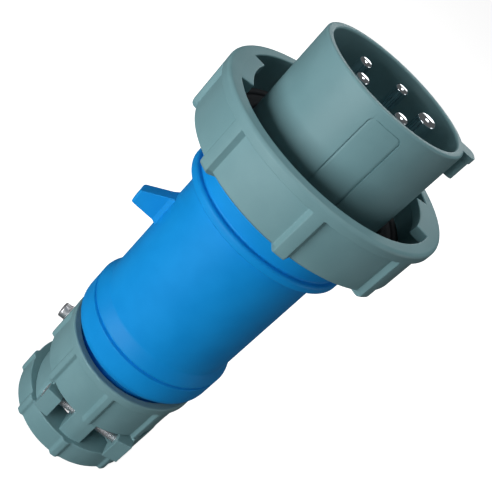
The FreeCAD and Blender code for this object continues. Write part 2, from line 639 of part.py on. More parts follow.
def make_ring(doc, d):
    """Coupling ring with ribs between recessed panels, a rear web and two claws."""
    body = new_body(doc, "coupling_ring")
    band_bottom = d.ring_front - d.ring_band
    web_top = d.ring_web_bottom + d.ring_web
    bore = d.collar_radius + d.running_gap
    revolve(body, "Rim", [
        (bore, d.ring_web_bottom),
        (d.ring_inner_radius, d.ring_web_bottom),
        (d.ring_inner_radius, d.ring_bottom),
        (d.ring_panel_radius - d.ring_turn_in, d.ring_bottom),
        (d.ring_panel_radius, d.ring_panel_bottom),
        (d.ring_panel_radius, band_bottom),
        (d.ring_radius, band_bottom),
        (d.ring_radius, d.ring_front),
        (d.ring_inner_radius, d.ring_front),
        (d.ring_inner_radius, web_top),
        (bore, web_top),
    ])
    round_circles(body, "FrontRound", d.ring_edge_round, [(d.ring_radius, d.ring_front)])
    foot = d.ring_rib_foot / 2
    face = d.ring_rib_width / 2
    root = d.ring_panel_radius - d.ring_turn_in
    rib = extrude(body, "Rib", "XY_Plane", d.ring_bottom, band_bottom,
                  rib_outline(root, d.ring_panel_radius, d.ring_radius, foot, face))
    ring_of(body, "Ribs", [rib], d.rib_count)
    heel = d.ring_heel_round
    wide = d.ring_radius + d.fit_gap
    low = d.ring_bottom - d.fit_gap
    bend = 1 - math.sqrt(0.5)
    revolve(body, "Heels", [
        (d.ring_radius - heel, low),
        (wide, low),
        (wide, d.ring_bottom + heel),
        (d.ring_radius, d.ring_bottom + heel),
        (d.ring_radius - heel, d.ring_bottom),
    ], {3: (d.ring_radius - heel * bend, d.ring_bottom + heel * bend)}, cut=True)
    claw = revolve(body, "Claw", rectangle(
        d.claw_tip, d.ring_front - d.claw_thickness, root, d.ring_front), angle=d.claw_angle)
    ring_of(body, "Claws", [claw], d.claw_count)
    return body


def make_face_seal(doc, d):
    """Flat rubber ring on the carrier's flange."""
    body = new_body(doc, "face_seal")
    low = d.flange_bottom + d.flange_thickness
    revolve(body, "Section", rectangle(
        d.seal_inner_radius, low, d.seal_outer_radius, low + d.seal_thickness))
    return body


def make_housing(doc, d):
    """Tube with a front collar, bead, fin, rear swelling and threaded neck."""
    body = new_body(doc, "housing")
    tube_inner = d.tube_radius - d.tube_wall
    shoulder_top = d.ring_web_bottom - d.fit_gap
    shoulder_bottom = shoulder_top - d.shoulder_thickness
    bead_bottom = d.bead_top - d.bead_thickness
    swell_foot_radius = d.swell_radius - d.swell_foot_inset
    throat_top = d.swell_bottom + d.throat_thickness
    revolve(body, "Tube", [
        (d.neck_bore, d.neck_bottom),
        (d.neck_radius, d.neck_bottom),
        (d.neck_radius, d.swell_bottom),
        (swell_foot_radius, d.swell_bottom),
        (d.swell_radius, d.swell_foot),
        (d.swell_radius, d.swell_shoulder),
        (d.tube_radius, d.swell_top),
        (d.tube_radius, bead_bottom),
        (d.bead_radius, bead_bottom),
        (d.bead_radius, d.bead_top),
        (d.collar_foot_radius, d.bead_top),
        (d.collar_radius, shoulder_bottom),
        (d.shoulder_radius, shoulder_bottom),
        (d.shoulder_radius, shoulder_top),
        (d.collar_radius, shoulder_top),
        (d.collar_radius, d.flange_bottom),
        (d.collar_bore, d.flange_bottom),
        (d.collar_bore, d.skirt_bottom),
        (tube_inner, d.skirt_bottom),
        (tube_inner, throat_top),
        (d.throat_radius, throat_top),
        (d.throat_radius, d.swell_bottom),
        (d.neck_bore, d.seat_height),
    ])
    round_circles(body, "BeadRound", d.bead_round, [
        (d.bead_radius, d.bead_top), (d.bead_radius, bead_bottom)])
    round_circles(body, "SwellRound", d.swell_round, [
        (d.tube_radius, d.swell_top), (d.swell_radius, d.swell_shoulder),
        (d.swell_radius, d.swell_foot)])
    root = d.tube_radius - d.tube_wall / 2
    tip_bottom = d.fin_bottom + d.fin_tip_rise
    sketch = new_sketch(body, "FinOutline", "XZ_Plane")
    add_outline(sketch, [
        (-root, d.fin_bottom + d.fin_root_height),
        (-d.fin_tip, tip_bottom + d.fin_tip_height),
        (-d.fin_tip, tip_bottom),
        (-root, d.fin_bottom),
    ])
    fin = body.newObject("PartDesign::Pad", "Fin")
    fin.Profile = sketch
    fin.Midplane = True
    fin.setExpression("Length", d.fin_thickness.text)
    doc.recompute()
    half = d.crease_depth
    deep = d.swell_radius - d.crease_depth
    wide = d.swell_radius + d.fit_gap
    revolve(body, "Crease", [
        (deep, d.crease_height), (wide, d.crease_height - half), (wide, d.crease_height + half),
    ], cut=True)
    return body


def make_housing_seal(doc, d):
    """Ring seal in the skirt's groove."""
    body = new_body(doc, "housing_seal")
    outer = d.skirt_radius
    inner = outer - d.oring_section + d.oring_squash
    half = d.oring_section / 2 - d.seat_gap
    revolve(body, "Section", rectangle(
        inner, d.oring_height - half, outer, d.oring_height + half))
    return body


def make_gland_seal(doc, d):
    """Rubber cable seal with a conical shoulder, in the housing's neck."""
    body = new_body(doc, "gland_seal")
    outer = d.neck_bore - d.seat_gap
    throat = d.throat_radius - d.seat_gap
    revolve(body, "Section", [
        (d.cable_radius, d.gland_seal_bottom),
        (outer, d.gland_seal_bottom),
        (outer, d.seat_height - d.seat_gap),
        (throat, d.swell_bottom - d.seat_gap),
        (d.cable_radius, d.swell_bottom - d.seat_gap),
    ])
    return body


def make_thrust_washer(doc, d):
    """Slip washer between the nut's web and the rubber seal."""
    body = new_body(doc, "thrust_washer")
    low = d.window_top + d.web_thickness + d.fit_gap / 2
    revolve(body, "Section", rectangle(
        d.web_hole_radius, low, d.washer_radius, low + d.washer_thickness))
    return body


def make_gland_nut(doc, d):
    """Cage nut: a ribbed upper part, two posts and a ribbed lower ring, in one moulding."""
    body = new_body(doc, "gland_nut")
    thread = d.neck_radius + d.running_gap
    band_bottom = d.nut_top - d.nut_band
    mouth_bottom = d.nut_top - d.nut_mouth_depth
    web_top = d.window_top + d.web_thickness
    post_inner = d.post_radius - d.post_thickness
    revolve(body, "Cage", [
        (d.foot_hole_radius, ZERO),
        (d.foot_radius, ZERO),
        (d.foot_radius, d.window_bottom),
        (d.post_radius, d.window_bottom),
        (d.post_radius, d.window_top),
        (d.nut_panel_radius, d.window_top),
        (d.nut_panel_radius, band_bottom),
        (d.nut_radius, band_bottom),
        (d.nut_radius, d.nut_top),
        (d.nut_mouth_radius, d.nut_top),
        (d.nut_mouth_radius, mouth_bottom),
        (thread, mouth_bottom),
        (thread, web_top),
        (d.web_hole_radius, web_top),
        (d.web_hole_radius, d.window_top),
        (post_inner, d.window_top),
        (post_inner, d.window_bottom),
        (d.foot_hole_radius, d.window_bottom),
    ])
    half = d.post_width / 2
    reach = d.nut_radius + d.fit_gap
    for name, low, high in (("RightWindow", half, reach), ("LeftWindow", -reach, -half)):
        extrude(body, name, "XZ_Plane", -reach, reach, rectangle(
            low, d.window_bottom, high, d.window_top), cut=True)
    foot = d.nut_rib_foot / 2
    face = d.nut_rib_width / 2
    for name, low, high in (("Upper", d.window_top, band_bottom), ("Lower", ZERO, d.window_bottom)):
        rib = extrude(body, name + "Rib", "XY_Plane", low, high, rib_outline(
            d.post_radius, d.nut_panel_radius, d.nut_radius, foot, face))
        ring_of(body, name + "Ribs", [rib], d.rib_count)
    beyond = d.nut_radius + d.fit_gap
    for name, height, away in (("FootBevel", ZERO, -1), ("TopBevel", d.nut_top, 1)):
        edge = d.nut_edge * away
        revolve(body, name, [
            (d.nut_radius - d.nut_edge, height),
            (d.nut_radius, height - edge),
            (beyond, height - edge),
            (beyond, height + edge),
            (d.nut_radius - d.nut_edge, height + edge),
        ], cut=True)
    centres = [(d.clamp_offset, d.clamp_height), (-d.clamp_offset, d.clamp_height)]
    hole = d.clamp_screw_radius + d.clamp_hole_gap
    extrude(body, "PostHoles", "YZ_Plane", -d.post_width, d.post_width,
            circles=[(centre, hole) for centre in centres], cut=True)
    return body


def make_jaw(doc, d, name, gap, side):
    """One clamp jaw: a curved back, two lugs and a nose with a saddle.

    side is -1 for the left jaw and 1 for the right one, and gap is where its lugs face the axis.
    """
    body = new_body(doc, name)

    def out(depth):
        """A place at a depth behind the lug's face, on the jaw's own side."""
        reach = gap + depth
        return reach if side > 0 else -reach

    end_y = d.lug_face - d.jaw_end_inset
    inner_y = d.lug_face - d.lug_width
    bottom = d.window_bottom + d.fit_gap
    top = d.window_top - d.fit_gap
    back = [
        (out(d.jaw_shoulder), -end_y),
        (out(d.jaw_shoulder), end_y),
        (out(d.fit_gap), inner_y),
        (out(-d.jaw_nose), d.jaw_nose_half),
        (out(-d.jaw_nose), d.saddle_half),
        (out(-d.jaw_nose), -d.saddle_half),
        (out(-d.jaw_nose), -d.jaw_nose_half),
        (out(d.fit_gap), -inner_y),
    ]
    extrude(body, "Back", "XY_Plane", bottom, top, back, {
        0: (out(d.jaw_back), ZERO), 4: (out(d.saddle_depth - d.jaw_nose), ZERO)})
    lug_bottom = d.window_bottom + d.lug_lower_gap
    lug_top = d.window_top - d.lug_upper_gap
    for number, low, high in (("Near", -d.lug_face, -inner_y), ("Far", inner_y, d.lug_face)):
        extrude(body, number + "Lug", "XY_Plane", lug_bottom, lug_top, rectangle(
            out(ZERO), low, out(d.jaw_shoulder), high))
    centres = [(d.clamp_offset, d.clamp_height), (-d.clamp_offset, d.clamp_height)]
    hole = d.clamp_screw_radius + d.clamp_hole_gap
    near_end = gap - d.fit_gap
    far_end = gap + d.jaw_back
    seat = gap + d.lug_inset
    if side < 0:
        extrude(body, "ScrewHoles", "YZ_Plane", -far_end, -near_end,
                circles=[(centre, hole) for centre in centres], cut=True)
        extrude(body, "HeadRecess", "YZ_Plane", -far_end, -seat,
                circles=[(centre, d.clamp_washer_radius + d.fit_gap) for centre in centres],
                cut=True)
    else:
        extrude(body, "ScrewHoles", "YZ_Plane", near_end, far_end,
                circles=[(centre, hole) for centre in centres], cut=True)
        for number, sign in (("Near", -1), ("Far", 1)):
            extrude(body, number + "Pocket", "YZ_Plane", seat, far_end, hexagon(
                d.clamp_offset * sign, d.clamp_height, d.clamp_nut_flats / 2 + d.clamp_nut_gap),
                cut=True)
    return body


def hexagon(x, y, inner_radius):
    """The corners of an upright hexagon with flats at the given distance."""
    corner = inner_radius / math.cos(math.radians(30))
    half = corner / 2
    return [
        (x, y - corner), (x + inner_radius, y - half), (x + inner_radius, y + half),
        (x, y + corner), (x - inner_radius, y + half), (x - inner_radius, y - half),
    ]


def make_clamp_nut(doc, d, name, sign):
    """A hexagon nut in its pocket in the right jaw."""
    body = new_body(doc, name)
    low = d.right_gap + d.lug_inset
    extrude(body, "Hexagon", "YZ_Plane", low, low + d.clamp_nut_height, hexagon(
        d.clamp_offset * sign, d.clamp_height, d.clamp_nut_flats / 2))
    centre = (d.clamp_offset * sign, d.clamp_height)
    extrude(body, "Bore", "YZ_Plane", low - d.fit_gap, low + d.clamp_nut_height + d.fit_gap,
            circles=[(centre, d.clamp_screw_radius + d.running_gap)], cut=True)
    return body


def screw_seat(d, drawn):
    """Where the washer's inner face lies along X."""
    return -(d.left_gap + d.lug_inset) - drawn


def make_clamp_washer(doc, d, name, sign, drawn):
    """The captive washer under a clamp screw's head."""
    body = new_body(doc, name)
    high = screw_seat(d, drawn)
    low = high - d.clamp_washer_thickness
    centre = (d.clamp_offset * sign, d.clamp_height)
    extrude(body, "Disc", "YZ_Plane", low, high, circles=[(centre, d.clamp_washer_radius)])
    extrude(body, "Bore", "YZ_Plane", low - d.fit_gap, high + d.fit_gap,
            circles=[(centre, d.clamp_screw_radius + d.running_gap)], cut=True)
    return body


def make_clamp_screw(doc, d, name, sign, drawn):
    """A pan head screw along X, with a cross recess."""
    body = new_body(doc, name)
    under_head = screw_seat(d, drawn) - d.clamp_washer_thickness
    head_end = under_head - d.clamp_head_height
    centre = (d.clamp_offset * sign, d.clamp_height)
    extrude(body, "Head", "YZ_Plane", head_end, under_head,
            circles=[(centre, d.clamp_head_radius)])
    extrude(body, "Shank", "YZ_Plane", under_head, under_head + d.clamp_screw_length,
            circles=[(centre, d.clamp_screw_radius)])
    cut_cross(body, "Recess", d, "YZ_Plane", head_end - d.fit_gap,
              head_end + d.cross_recess_depth, centre,
              d.clamp_head_radius * d.cross_recess_share)
    return body


def make_all(doc, d):
    """Every piece of the plug, from the mouth to the cable end."""
    pieces = [make_carrier(doc, d), make_retainer(doc, d), make_retainer_screw(doc, d)]
    for pole in PIN_ANGLES:
        pieces.append(make_pin(doc, d, pole))
        pieces.append(make_terminal_screw(doc, d, pole))
    pieces += [make_ring(doc, d), make_face_seal(doc, d), make_housing(doc, d)]
    pieces += [make_housing_seal(doc, d), make_gland_seal(doc, d), make_thrust_washer(doc, d)]
    pieces.append(make_gland_nut(doc, d))
    pieces.append(make_jaw(doc, d, "clamp_jaw_left", d.left_gap, -1))
    pieces.append(make_jaw(doc, d, "clamp_jaw_right", d.right_gap, 1))
    for side, sign, drawn in (("near", -1, ZERO), ("far", 1, d.far_screw_drawn)):
        pieces.append(make_clamp_nut(doc, d, "clamp_nut_" + side, sign))
        pieces.append(make_clamp_washer(doc, d, "clamp_washer_" + side, sign, drawn))
        pieces.append(make_clamp_screw(doc, d, "clamp_screw_" + side, sign, drawn))
    return pieces


def check(doc, pieces):
    """Stop if any object failed or any piece is not one sound solid."""
    failed = [item.Name for item in doc.Objects
              if "Invalid" in item.State or "Error" in item.State]
    if failed:
        raise RuntimeError("failed objects: %s" % ", ".join(failed))
    for piece in pieces:
        shape = piece.Shape
        if shape.isNull() or not shape.isValid() or len(shape.Solids) != 1:
            raise RuntimeError("unsound piece: %s" % piece.Label)


def main():
    """Build the plug and write each piece to its own file."""
    doc = FreeCAD.newDocument(DOCUMENT_NAME)
    sizes = make_sheet(doc)
    pieces = make_all(doc, sizes)
    doc.recompute()
    check(doc, pieces)
    os.makedirs("parts", exist_ok=True)
    for piece in pieces:
        piece.Shape.exportStep(os.path.join("parts", piece.Label + ".step"))
        print("%-24s %10.1f mm3" % (piece.Label, piece.Shape.Volume))


main()
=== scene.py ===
"""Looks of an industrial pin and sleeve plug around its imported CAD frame.

The plug stands on its cable end, +Z runs along its axis to the mouth and +X goes through the key.
Lengths are in metres, in the CAD model's own frame.
"""
import json
import math

import bmesh
import bpy
from mathutils import Matrix, Vector


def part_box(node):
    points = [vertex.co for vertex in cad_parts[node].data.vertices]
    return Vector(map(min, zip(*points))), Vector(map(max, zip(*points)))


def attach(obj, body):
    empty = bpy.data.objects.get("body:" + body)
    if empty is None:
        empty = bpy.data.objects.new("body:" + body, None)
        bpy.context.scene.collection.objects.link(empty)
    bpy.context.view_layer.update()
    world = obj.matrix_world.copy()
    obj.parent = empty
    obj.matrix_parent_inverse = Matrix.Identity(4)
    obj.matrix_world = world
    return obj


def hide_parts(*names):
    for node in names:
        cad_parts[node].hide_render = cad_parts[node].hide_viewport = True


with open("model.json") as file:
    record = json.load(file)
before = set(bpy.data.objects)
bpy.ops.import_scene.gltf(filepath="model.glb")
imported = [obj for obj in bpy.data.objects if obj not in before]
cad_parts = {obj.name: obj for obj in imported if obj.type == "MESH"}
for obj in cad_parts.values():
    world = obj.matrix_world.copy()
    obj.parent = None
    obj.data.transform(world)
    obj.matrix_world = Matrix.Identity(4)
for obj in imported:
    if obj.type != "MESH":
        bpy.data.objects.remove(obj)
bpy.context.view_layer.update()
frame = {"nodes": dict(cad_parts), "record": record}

MM = 0.001
NEAR = 0.01 * MM


# Sizes, from the frame's nodes where a node shows them

def low(node):
    """The lowest corner of a CAD node."""
    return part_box(node)[0]


def high(node):
    """The highest corner of a CAD node."""
    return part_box(node)[1]


RIM = high("contact_carrier").z
SHROUD = 28.5 * MM
SHROUD_BORE = SHROUD - 2.7 * MM
PANEL_HALF_ANGLE = math.radians(12)
FLOOR = low("face_seal").z + 1.8 * MM
FLANGE = high("contact_carrier").x
FLANGE_TOP = low("face_seal").z
FLANGE_BOTTOM = high("housing").z
SKIRT = SHROUD - 0.5 * MM
SKIRT_BOTTOM = low("contact_carrier").z
FLOOR_BOTTOM = FLOOR - 6 * MM

RING = high("coupling_ring").x
RING_FRONT = high("coupling_ring").z
RING_BACK = low("coupling_ring").z
RING_PANEL = RING - 1.8 * MM
RING_BORE = RING_PANEL - 3.3 * MM
BAND_BOTTOM = RING_FRONT - 3.7 * MM
WEB_BOTTOM = RING_BACK + 0.9 * MM
WEB_TOP = WEB_BOTTOM + 3 * MM

COLLAR = 31.9 * MM
SHOULDER = high("housing").x
BEAD = COLLAR + 1.1 * MM
BEAD_TOP = WEB_BOTTOM - 12.2 * MM
TUBE = 28.2 * MM
SWELL = TUBE + 2.3 * MM
SWELL_BOTTOM = BEAD_TOP - 80.7 * MM
SEAL_SEAT = SWELL_BOTTOM - 3.6 * MM
NECK = TUBE - 4 * MM
NECK_BOTTOM = low("housing").z
NECK_BORE = NECK - 3.2 * MM
THROAT = NECK_BORE - 4.5 * MM
FIN_TIP = -low("housing").x

NUT = high("gland_nut").x
NUT_TOP = high("gland_nut").z
NUT_PANEL = NUT - 1.5 * MM
NUT_BAND_BOTTOM = NUT_TOP - 3.6 * MM
NUT_THREAD = NECK + 0.08 * MM
WINDOW_BOTTOM = 10.9 * MM
WINDOW_TOP = 25.5 * MM
POST = NUT - 3 * MM
WEB_HOLE = 13.5 * MM

SCREW_SIDE = 21 * MM
SCREW_HEIGHT = (low("clamp_screw_near").z + high("clamp_screw_near").z) / 2
SCREW_CREST = 2 * MM
CLOSE_HOLE = SCREW_CREST + 0.05 * MM
FREE_HOLE = SCREW_CREST + 0.25 * MM

JAW_NOSE = 4 * MM
JAW_GAPS = {-1: -high("clamp_jaw_left").x + JAW_NOSE, 1: low("clamp_jaw_right").x + JAW_NOSE}

RIBS = 8
RIB_PITCH = 2 * math.pi / RIBS
SHELL_SIDES = 192
ROUND_SIDES = 160
PIN_SIDES = 64
BAR_SIDES = 48
ROUND_STEPS = 5


# Materials

class Value:
    """A shader value. Arithmetic on it adds Math nodes."""

    def __init__(self, paint, socket):
        self.paint = paint
        self.socket = socket

    def maths(self, operation, *operands):
        inputs = dict(enumerate(operands))
        return self.paint.node("ShaderNodeMath", {"operation": operation}, inputs)

    def __add__(self, other):
        return self.maths("ADD", self, other)

    def __radd__(self, other):
        return self.maths("ADD", other, self)

    def __sub__(self, other):
        return self.maths("SUBTRACT", self, other)

    def __rsub__(self, other):
        return self.maths("SUBTRACT", other, self)

    def __mul__(self, other):
        return self.maths("MULTIPLY", self, other)

    def __rmul__(self, other):
        return self.maths("MULTIPLY", other, self)

    def smooth(self, bottom, top):
        """0 below bottom, 1 above top, with a soft step between."""
        settings = {"interpolation_type": "SMOOTHSTEP"}
        return self.paint.node("ShaderNodeMapRange", settings,
                               {"Value": self, "From Min": bottom, "From Max": top})


# Places of the Mix node's sockets for colours
MIX_FACTOR = 0
MIX_FIRST = 6
MIX_SECOND = 7
MIX_COLOUR = 2


class Paint:
    """The shader nodes of a material or of the world."""

    def __init__(self, owner, output="ShaderNodeOutputMaterial"):
        self.owner = owner
        self.owner.use_nodes = True
        self.tree = self.owner.node_tree
        self.tree.nodes.clear()
        self.output = self.tree.nodes.new(output)

    def node(self, kind, settings=None, inputs=None, output=0):
        """Add a node: its settings first, then its sockets by name or number."""
        made = self.tree.nodes.new(kind)
        for name, value in (settings or {}).items():
            setattr(made, name, value)
        for key, value in (inputs or {}).items():
            socket = made.inputs[key]
            if isinstance(value, Value):
                self.tree.links.new(value.socket, socket)
            else:
                socket.default_value = value
        return Value(self, made.outputs[output])

    def surface(self, shader):
        """Send a shader to the output's surface."""
        self.tree.links.new(shader.socket, self.output.inputs["Surface"])

    def place(self):
        """Where a point lies in the plug's frame, in metres."""
        return self.node("ShaderNodeTexCoord", output="Object")

    def noise(self, size, detail):
        """Noise from 0 to 1 whose lumps are about the given size across."""
        inputs = {"Vector": self.place(), "Scale": 1 / size, "Detail": detail}
        return self.node("ShaderNodeTexNoise", None, inputs)

    def blend(self, amount, first, second):
        """A colour between two others."""
        inputs = {MIX_FACTOR: amount, MIX_FIRST: first, MIX_SECOND: second}
        return self.node("ShaderNodeMix", {"data_type": "RGBA"}, inputs, MIX_COLOUR)

    def bump(self, height, distance, strength):
        """A normal bent by a height from 0 to 1 that stands for the given distance."""
        inputs = {"Height": height, "Distance": distance, "Strength": strength}
        return self.node("ShaderNodeBump", None, inputs)


def colour(red, green, blue):
    """A colour for a socket, from screen values of 0 to 255."""
    def linear(level):
        share = level / 255
        return share / 12.92 if share <= 0.04045 else ((share + 0.055) / 1.055) ** 2.4
    return (linear(red), linear(green), linear(blue), 1.0)


def grey(level):
    """A grey for a socket, from 0 for black to 1 for white."""
    return (level, level, level, 1.0)


def moulded_plastic(name, base, shade, roughness, grain, shine=0.45):
    """Satin moulded plastic with a fine grain and faint clouding."""
    paint = Paint(bpy.data.materials.new(name))
    clouds = paint.noise(14 * MM, detail=3.0)
    fine = paint.noise(0.45 * MM, detail=2.0)
    tint = paint.blend(clouds.smooth(0.3, 0.7), shade, base)
    relief = paint.bump(fine, grain * MM, 0.6)
    gloss = roughness + 0.08 * (clouds - 0.5) + 0.1 * (fine - 0.5)
    paint.surface(paint.node("ShaderNodeBsdfPrincipled", None, {
        "Base Color": tint, "Roughness": gloss, "Normal": relief,
        "Specular IOR Level": shine}))
    return paint.owner


def soft_rubber(name):
    """Dull black rubber."""
    paint = Paint(bpy.data.materials.new(name))
    fine = paint.noise(0.6 * MM, detail=3.0)
    tint = paint.blend(fine, colour(11, 15, 19), colour(22, 27, 32))
    paint.surface(paint.node("ShaderNodeBsdfPrincipled", None, {
        "Base Color": tint, "Roughness": 0.55 + 0.15 * fine,
        "Normal": paint.bump(fine, 0.05 * MM, 0.5), "Specular IOR Level": 0.4}))
    return paint.owner


def plated_metal(name, base, shade, roughness, scratch):
    """Plated metal with fine turning marks."""
    paint = Paint(bpy.data.materials.new(name))
    fine = paint.noise(0.35 * MM, detail=4.0)
    clouds = paint.noise(4 * MM, detail=2.0)
    tint = paint.blend(clouds, shade, base)
    paint.surface(paint.node("ShaderNodeBsdfPrincipled", None, {
        "Base Color": tint, "Metallic": 1.0, "Roughness": roughness + 0.06 * (fine - 0.5),
        "Normal": paint.bump(fine, scratch * MM, 0.4)}))
    return paint.owner


MATERIALS = {
    "grey_plastic": moulded_plastic("grey_plastic", colour(122, 161, 167), colour(116, 155, 161),
                                    roughness=0.45, grain=0.03, shine=0.24),
    "blue_plastic": moulded_plastic("blue_plastic", colour(18, 151, 229), colour(12, 145, 223),
                                    roughness=0.5, grain=0.02, shine=0.16),
    "insulator": moulded_plastic("insulator", colour(70, 76, 78), colour(62, 68, 70),
                                 roughness=0.5, grain=0.03),
    "slip_plastic": moulded_plastic("slip_plastic", colour(215, 215, 208), colour(205, 205, 198),
                                    roughness=0.4, grain=0.02),
    "black_rubber": soft_rubber("black_rubber"),
    "bright_steel": plated_metal("bright_steel", colour(238, 240, 242), colour(222, 224, 228),
                                 roughness=0.45, scratch=0.01),
    "contact_metal": plated_metal("contact_metal", colour(232, 238, 242), colour(218, 226, 232),
                                  roughness=0.12, scratch=0.002),
}


# Modelling

def rounded(corners):
    """The closed outline through corners that are given as two places and a rounding."""
    points = []
    count = len(corners)
    for number, (across, up, radius) in enumerate(corners):
        here = Vector((across, up))
        if not radius:
            points.append(here)
            continue
        back = (Vector(corners[number - 1][:2]) - here).normalized()
        onward = (Vector(corners[(number + 1) % count][:2]) - here).normalized()
        half = back.angle(onward) / 2
        centre = here + (back + onward).normalized() * radius / math.sin(half)
        spoke = here + back * radius / math.tan(half) - centre
        last = here + onward * radius / math.tan(half) - centre
        turn = math.copysign(math.pi - 2 * half, spoke.cross(last))
        for step in range(ROUND_STEPS + 1):
            points.append(centre + Matrix.Rotation(turn * step / ROUND_STEPS, 2) @ spoke)
    return points


def begin(name, place):
    """A new piece with a single point, open in edit mode."""
    bpy.ops.object.select_all(action="DESELECT")
    bpy.ops.mesh.primitive_plane_add(size=MM, location=(0, 0, 0))
    piece = bpy.context.active_object
    piece.name = name
    bpy.ops.object.mode_set(mode="EDIT")
    bpy.ops.mesh.select_all(action="SELECT")
    bpy.ops.mesh.merge(type="CENTER")
    bpy.ops.transform.translate(value=place)
    return piece


def draw(points):
    """Draw a line on from the chosen point by extruding it from place to place."""
    for start, end in zip(points, points[1:]):
        bpy.ops.mesh.extrude_region_move(TRANSFORM_OT_translate={"value": tuple(end - start)})


def trace(name, outline):
    """A new piece with a line through an outline's points, all chosen in edit mode."""
    piece = begin(name, outline[0])
    draw(outline)
    bpy.ops.mesh.select_all(action="SELECT")
    bpy.ops.mesh.remove_doubles(threshold=NEAR)
    bpy.ops.mesh.select_all(action="SELECT")
    return piece


def weld():
    """Merge what coincides, face the surface outwards and leave edit mode."""
    bpy.ops.mesh.select_all(action="SELECT")
    bpy.ops.mesh.remove_doubles(threshold=NEAR)
    bpy.ops.mesh.normals_make_consistent(inside=False)
    bpy.ops.object.mode_set(mode="OBJECT")


def turned(name, corners, sides=ROUND_SIDES):
    """An outline of radius, height and rounding, spun about the plug's axis.

    An outline that starts on the axis also ends there, and any other is closed.
    """
    outline = [Vector((point.x, 0, point.y)) for point in rounded(corners)]
    if outline[0].x > NEAR:
        outline.append(outline[0])
    piece = trace(name, outline)
    bpy.ops.mesh.spin(steps=sides, angle=2 * math.pi, center=(0, 0, 0), axis=(0, 0, 1),
                      use_auto_merge=True)
    weld()
    return piece


def sector(name, corners, middle, width, steps):
    """An outline of radius, height and rounding, spun through part of a turn, with closed ends."""
    outline = [Vector((point.x, 0, point.y)) for point in rounded(corners)]
    piece = trace(name, outline + outline[:1])
    bpy.ops.mesh.edge_face_add()
    bpy.ops.mesh.spin(steps=steps, angle=-width, center=(0, 0, 0), axis=(0, 0, 1))
    weld()
    start = min(math.atan2(point.co.y, point.co.x) for point in piece.data.vertices)
    return put(piece, turn=(0, 0, middle - width / 2 - start))


def plate(name, corners, bottom, top):
    """An outline of two places and a rounding, filled and raised from one height to another."""
    outline = [Vector((point.x, point.y, bottom)) for point in rounded(corners)]
    piece = trace(name, outline + outline[:1])
    bpy.ops.mesh.edge_face_add()
    bpy.ops.mesh.extrude_region_move(TRANSFORM_OT_translate={"value": (0, 0, top - bottom)})
    weld()
    return piece


def box_corners(left, front, right, back, rounding=0.0):
    """The corners of a rectangle, for a plate or a spun outline."""
    return [(left, front, rounding), (right, front, rounding),
            (right, back, rounding), (left, back, rounding)]


def pick(piece):
    """Make one piece the only chosen one."""
    bpy.ops.object.select_all(action="DESELECT")
    piece.select_set(True)
    bpy.context.view_layer.objects.active = piece


def put(piece, place=(0, 0, 0), turn=(0, 0, 0)):
    """Turn a piece and move it, and write both into its mesh."""
    pick(piece)
    piece.rotation_euler = turn
    piece.location = place
    bpy.ops.object.transform_apply(location=True, rotation=True, scale=True)
    return piece


def joined(name, *parts):
    """Several meshes as one piece."""
    pick(parts[0])
    for part in parts[1:]:
        part.select_set(True)
    bpy.ops.object.join()
    whole = bpy.context.active_object
    whole.name = name
    return whole


def shape_with(piece, tool, operation):
    """Cut one solid with another, fuse them or keep what they share, and drop the second."""
    pick(piece)
    change = piece.modifiers.new("change", "BOOLEAN")
    change.operation = operation
    change.solver = "EXACT"
    change.object = tool
    bpy.ops.object.modifier_apply(modifier=change.name)
    bpy.data.objects.remove(tool)
    return piece


def soften(piece, width=0.35 * MM, segments=3, limit=32, clamp=True):
    """Round a piece's sharp edges and shade it smooth between them.

    With clamp, a short edge narrows the rounding of the whole piece.
    """
    pick(piece)
    bevel = piece.modifiers.new("edges", "BEVEL")
    bevel.width = width
    bevel.segments = segments
    bevel.limit_method = "ANGLE"
    bevel.angle_limit = math.radians(limit)
    bevel.use_clamp_overlap = clamp
    bevel.miter_outer = "MITER_ARC"
    bpy.ops.object.modifier_apply(modifier=bevel.name)
    return smooth(piece)


def smooth(piece):
    """Smooth shading that keeps flat faces flat."""
    pick(piece)
    bpy.ops.object.shade_smooth_by_angle(angle=math.radians(35))
    weigh = piece.modifiers.new("weigh", "WEIGHTED_NORMAL")
    weigh.keep_sharp = True
    bpy.ops.object.modifier_apply(modifier=weigh.name)
    return piece


def choose(piece, kind, test):
    """Open a piece in edit mode with only the faces or edges chosen that pass a test."""
    pick(piece)
    bpy.ops.object.mode_set(mode="EDIT")
    bpy.ops.mesh.select_mode(type="FACE" if kind == "faces" else "EDGE")
    bpy.ops.mesh.select_all(action="DESELECT")
    mesh = bmesh.from_edit_mesh(piece.data)
    for part in getattr(mesh, kind):
        part.select_set(test(part))
    mesh.select_flush_mode()
    bmesh.update_edit_mesh(piece.data)


def leave():
    """Close edit mode, with points as the things to choose."""
    bpy.ops.mesh.select_mode(type="VERT")
    bpy.ops.object.mode_set(mode="OBJECT")


def off_rib(point):
    """How far round a point lies from the middle of the nearest rib, as an angle."""
    around = math.atan2(point.y, point.x) % RIB_PITCH
    return min(around, RIB_PITCH - around)


def raise_ribs(piece, half_angle, bottom, top, panel, reach):
    """Push out a strip of the panelled wall at each rib, between two heights.

    half_angle is a whole number of the wall's segments.
    """
    def on_strip(face):
        middle = face.calc_center_median()
        inside = bottom - NEAR < middle.z < top + NEAR
        outward = face.normal.x * middle.x + face.normal.y * middle.y > 0.3 * middle.xy.length
        wall = middle.xy.length > panel - 3 * MM and outward
        return inside and wall and off_rib(middle) < half_angle
    choose(piece, "faces", on_strip)
    grow = reach / panel
    bpy.ops.mesh.extrude_region_move()
    bpy.ops.transform.resize(value=(grow, grow, 1), center_override=(0, 0, 0))
    leave()


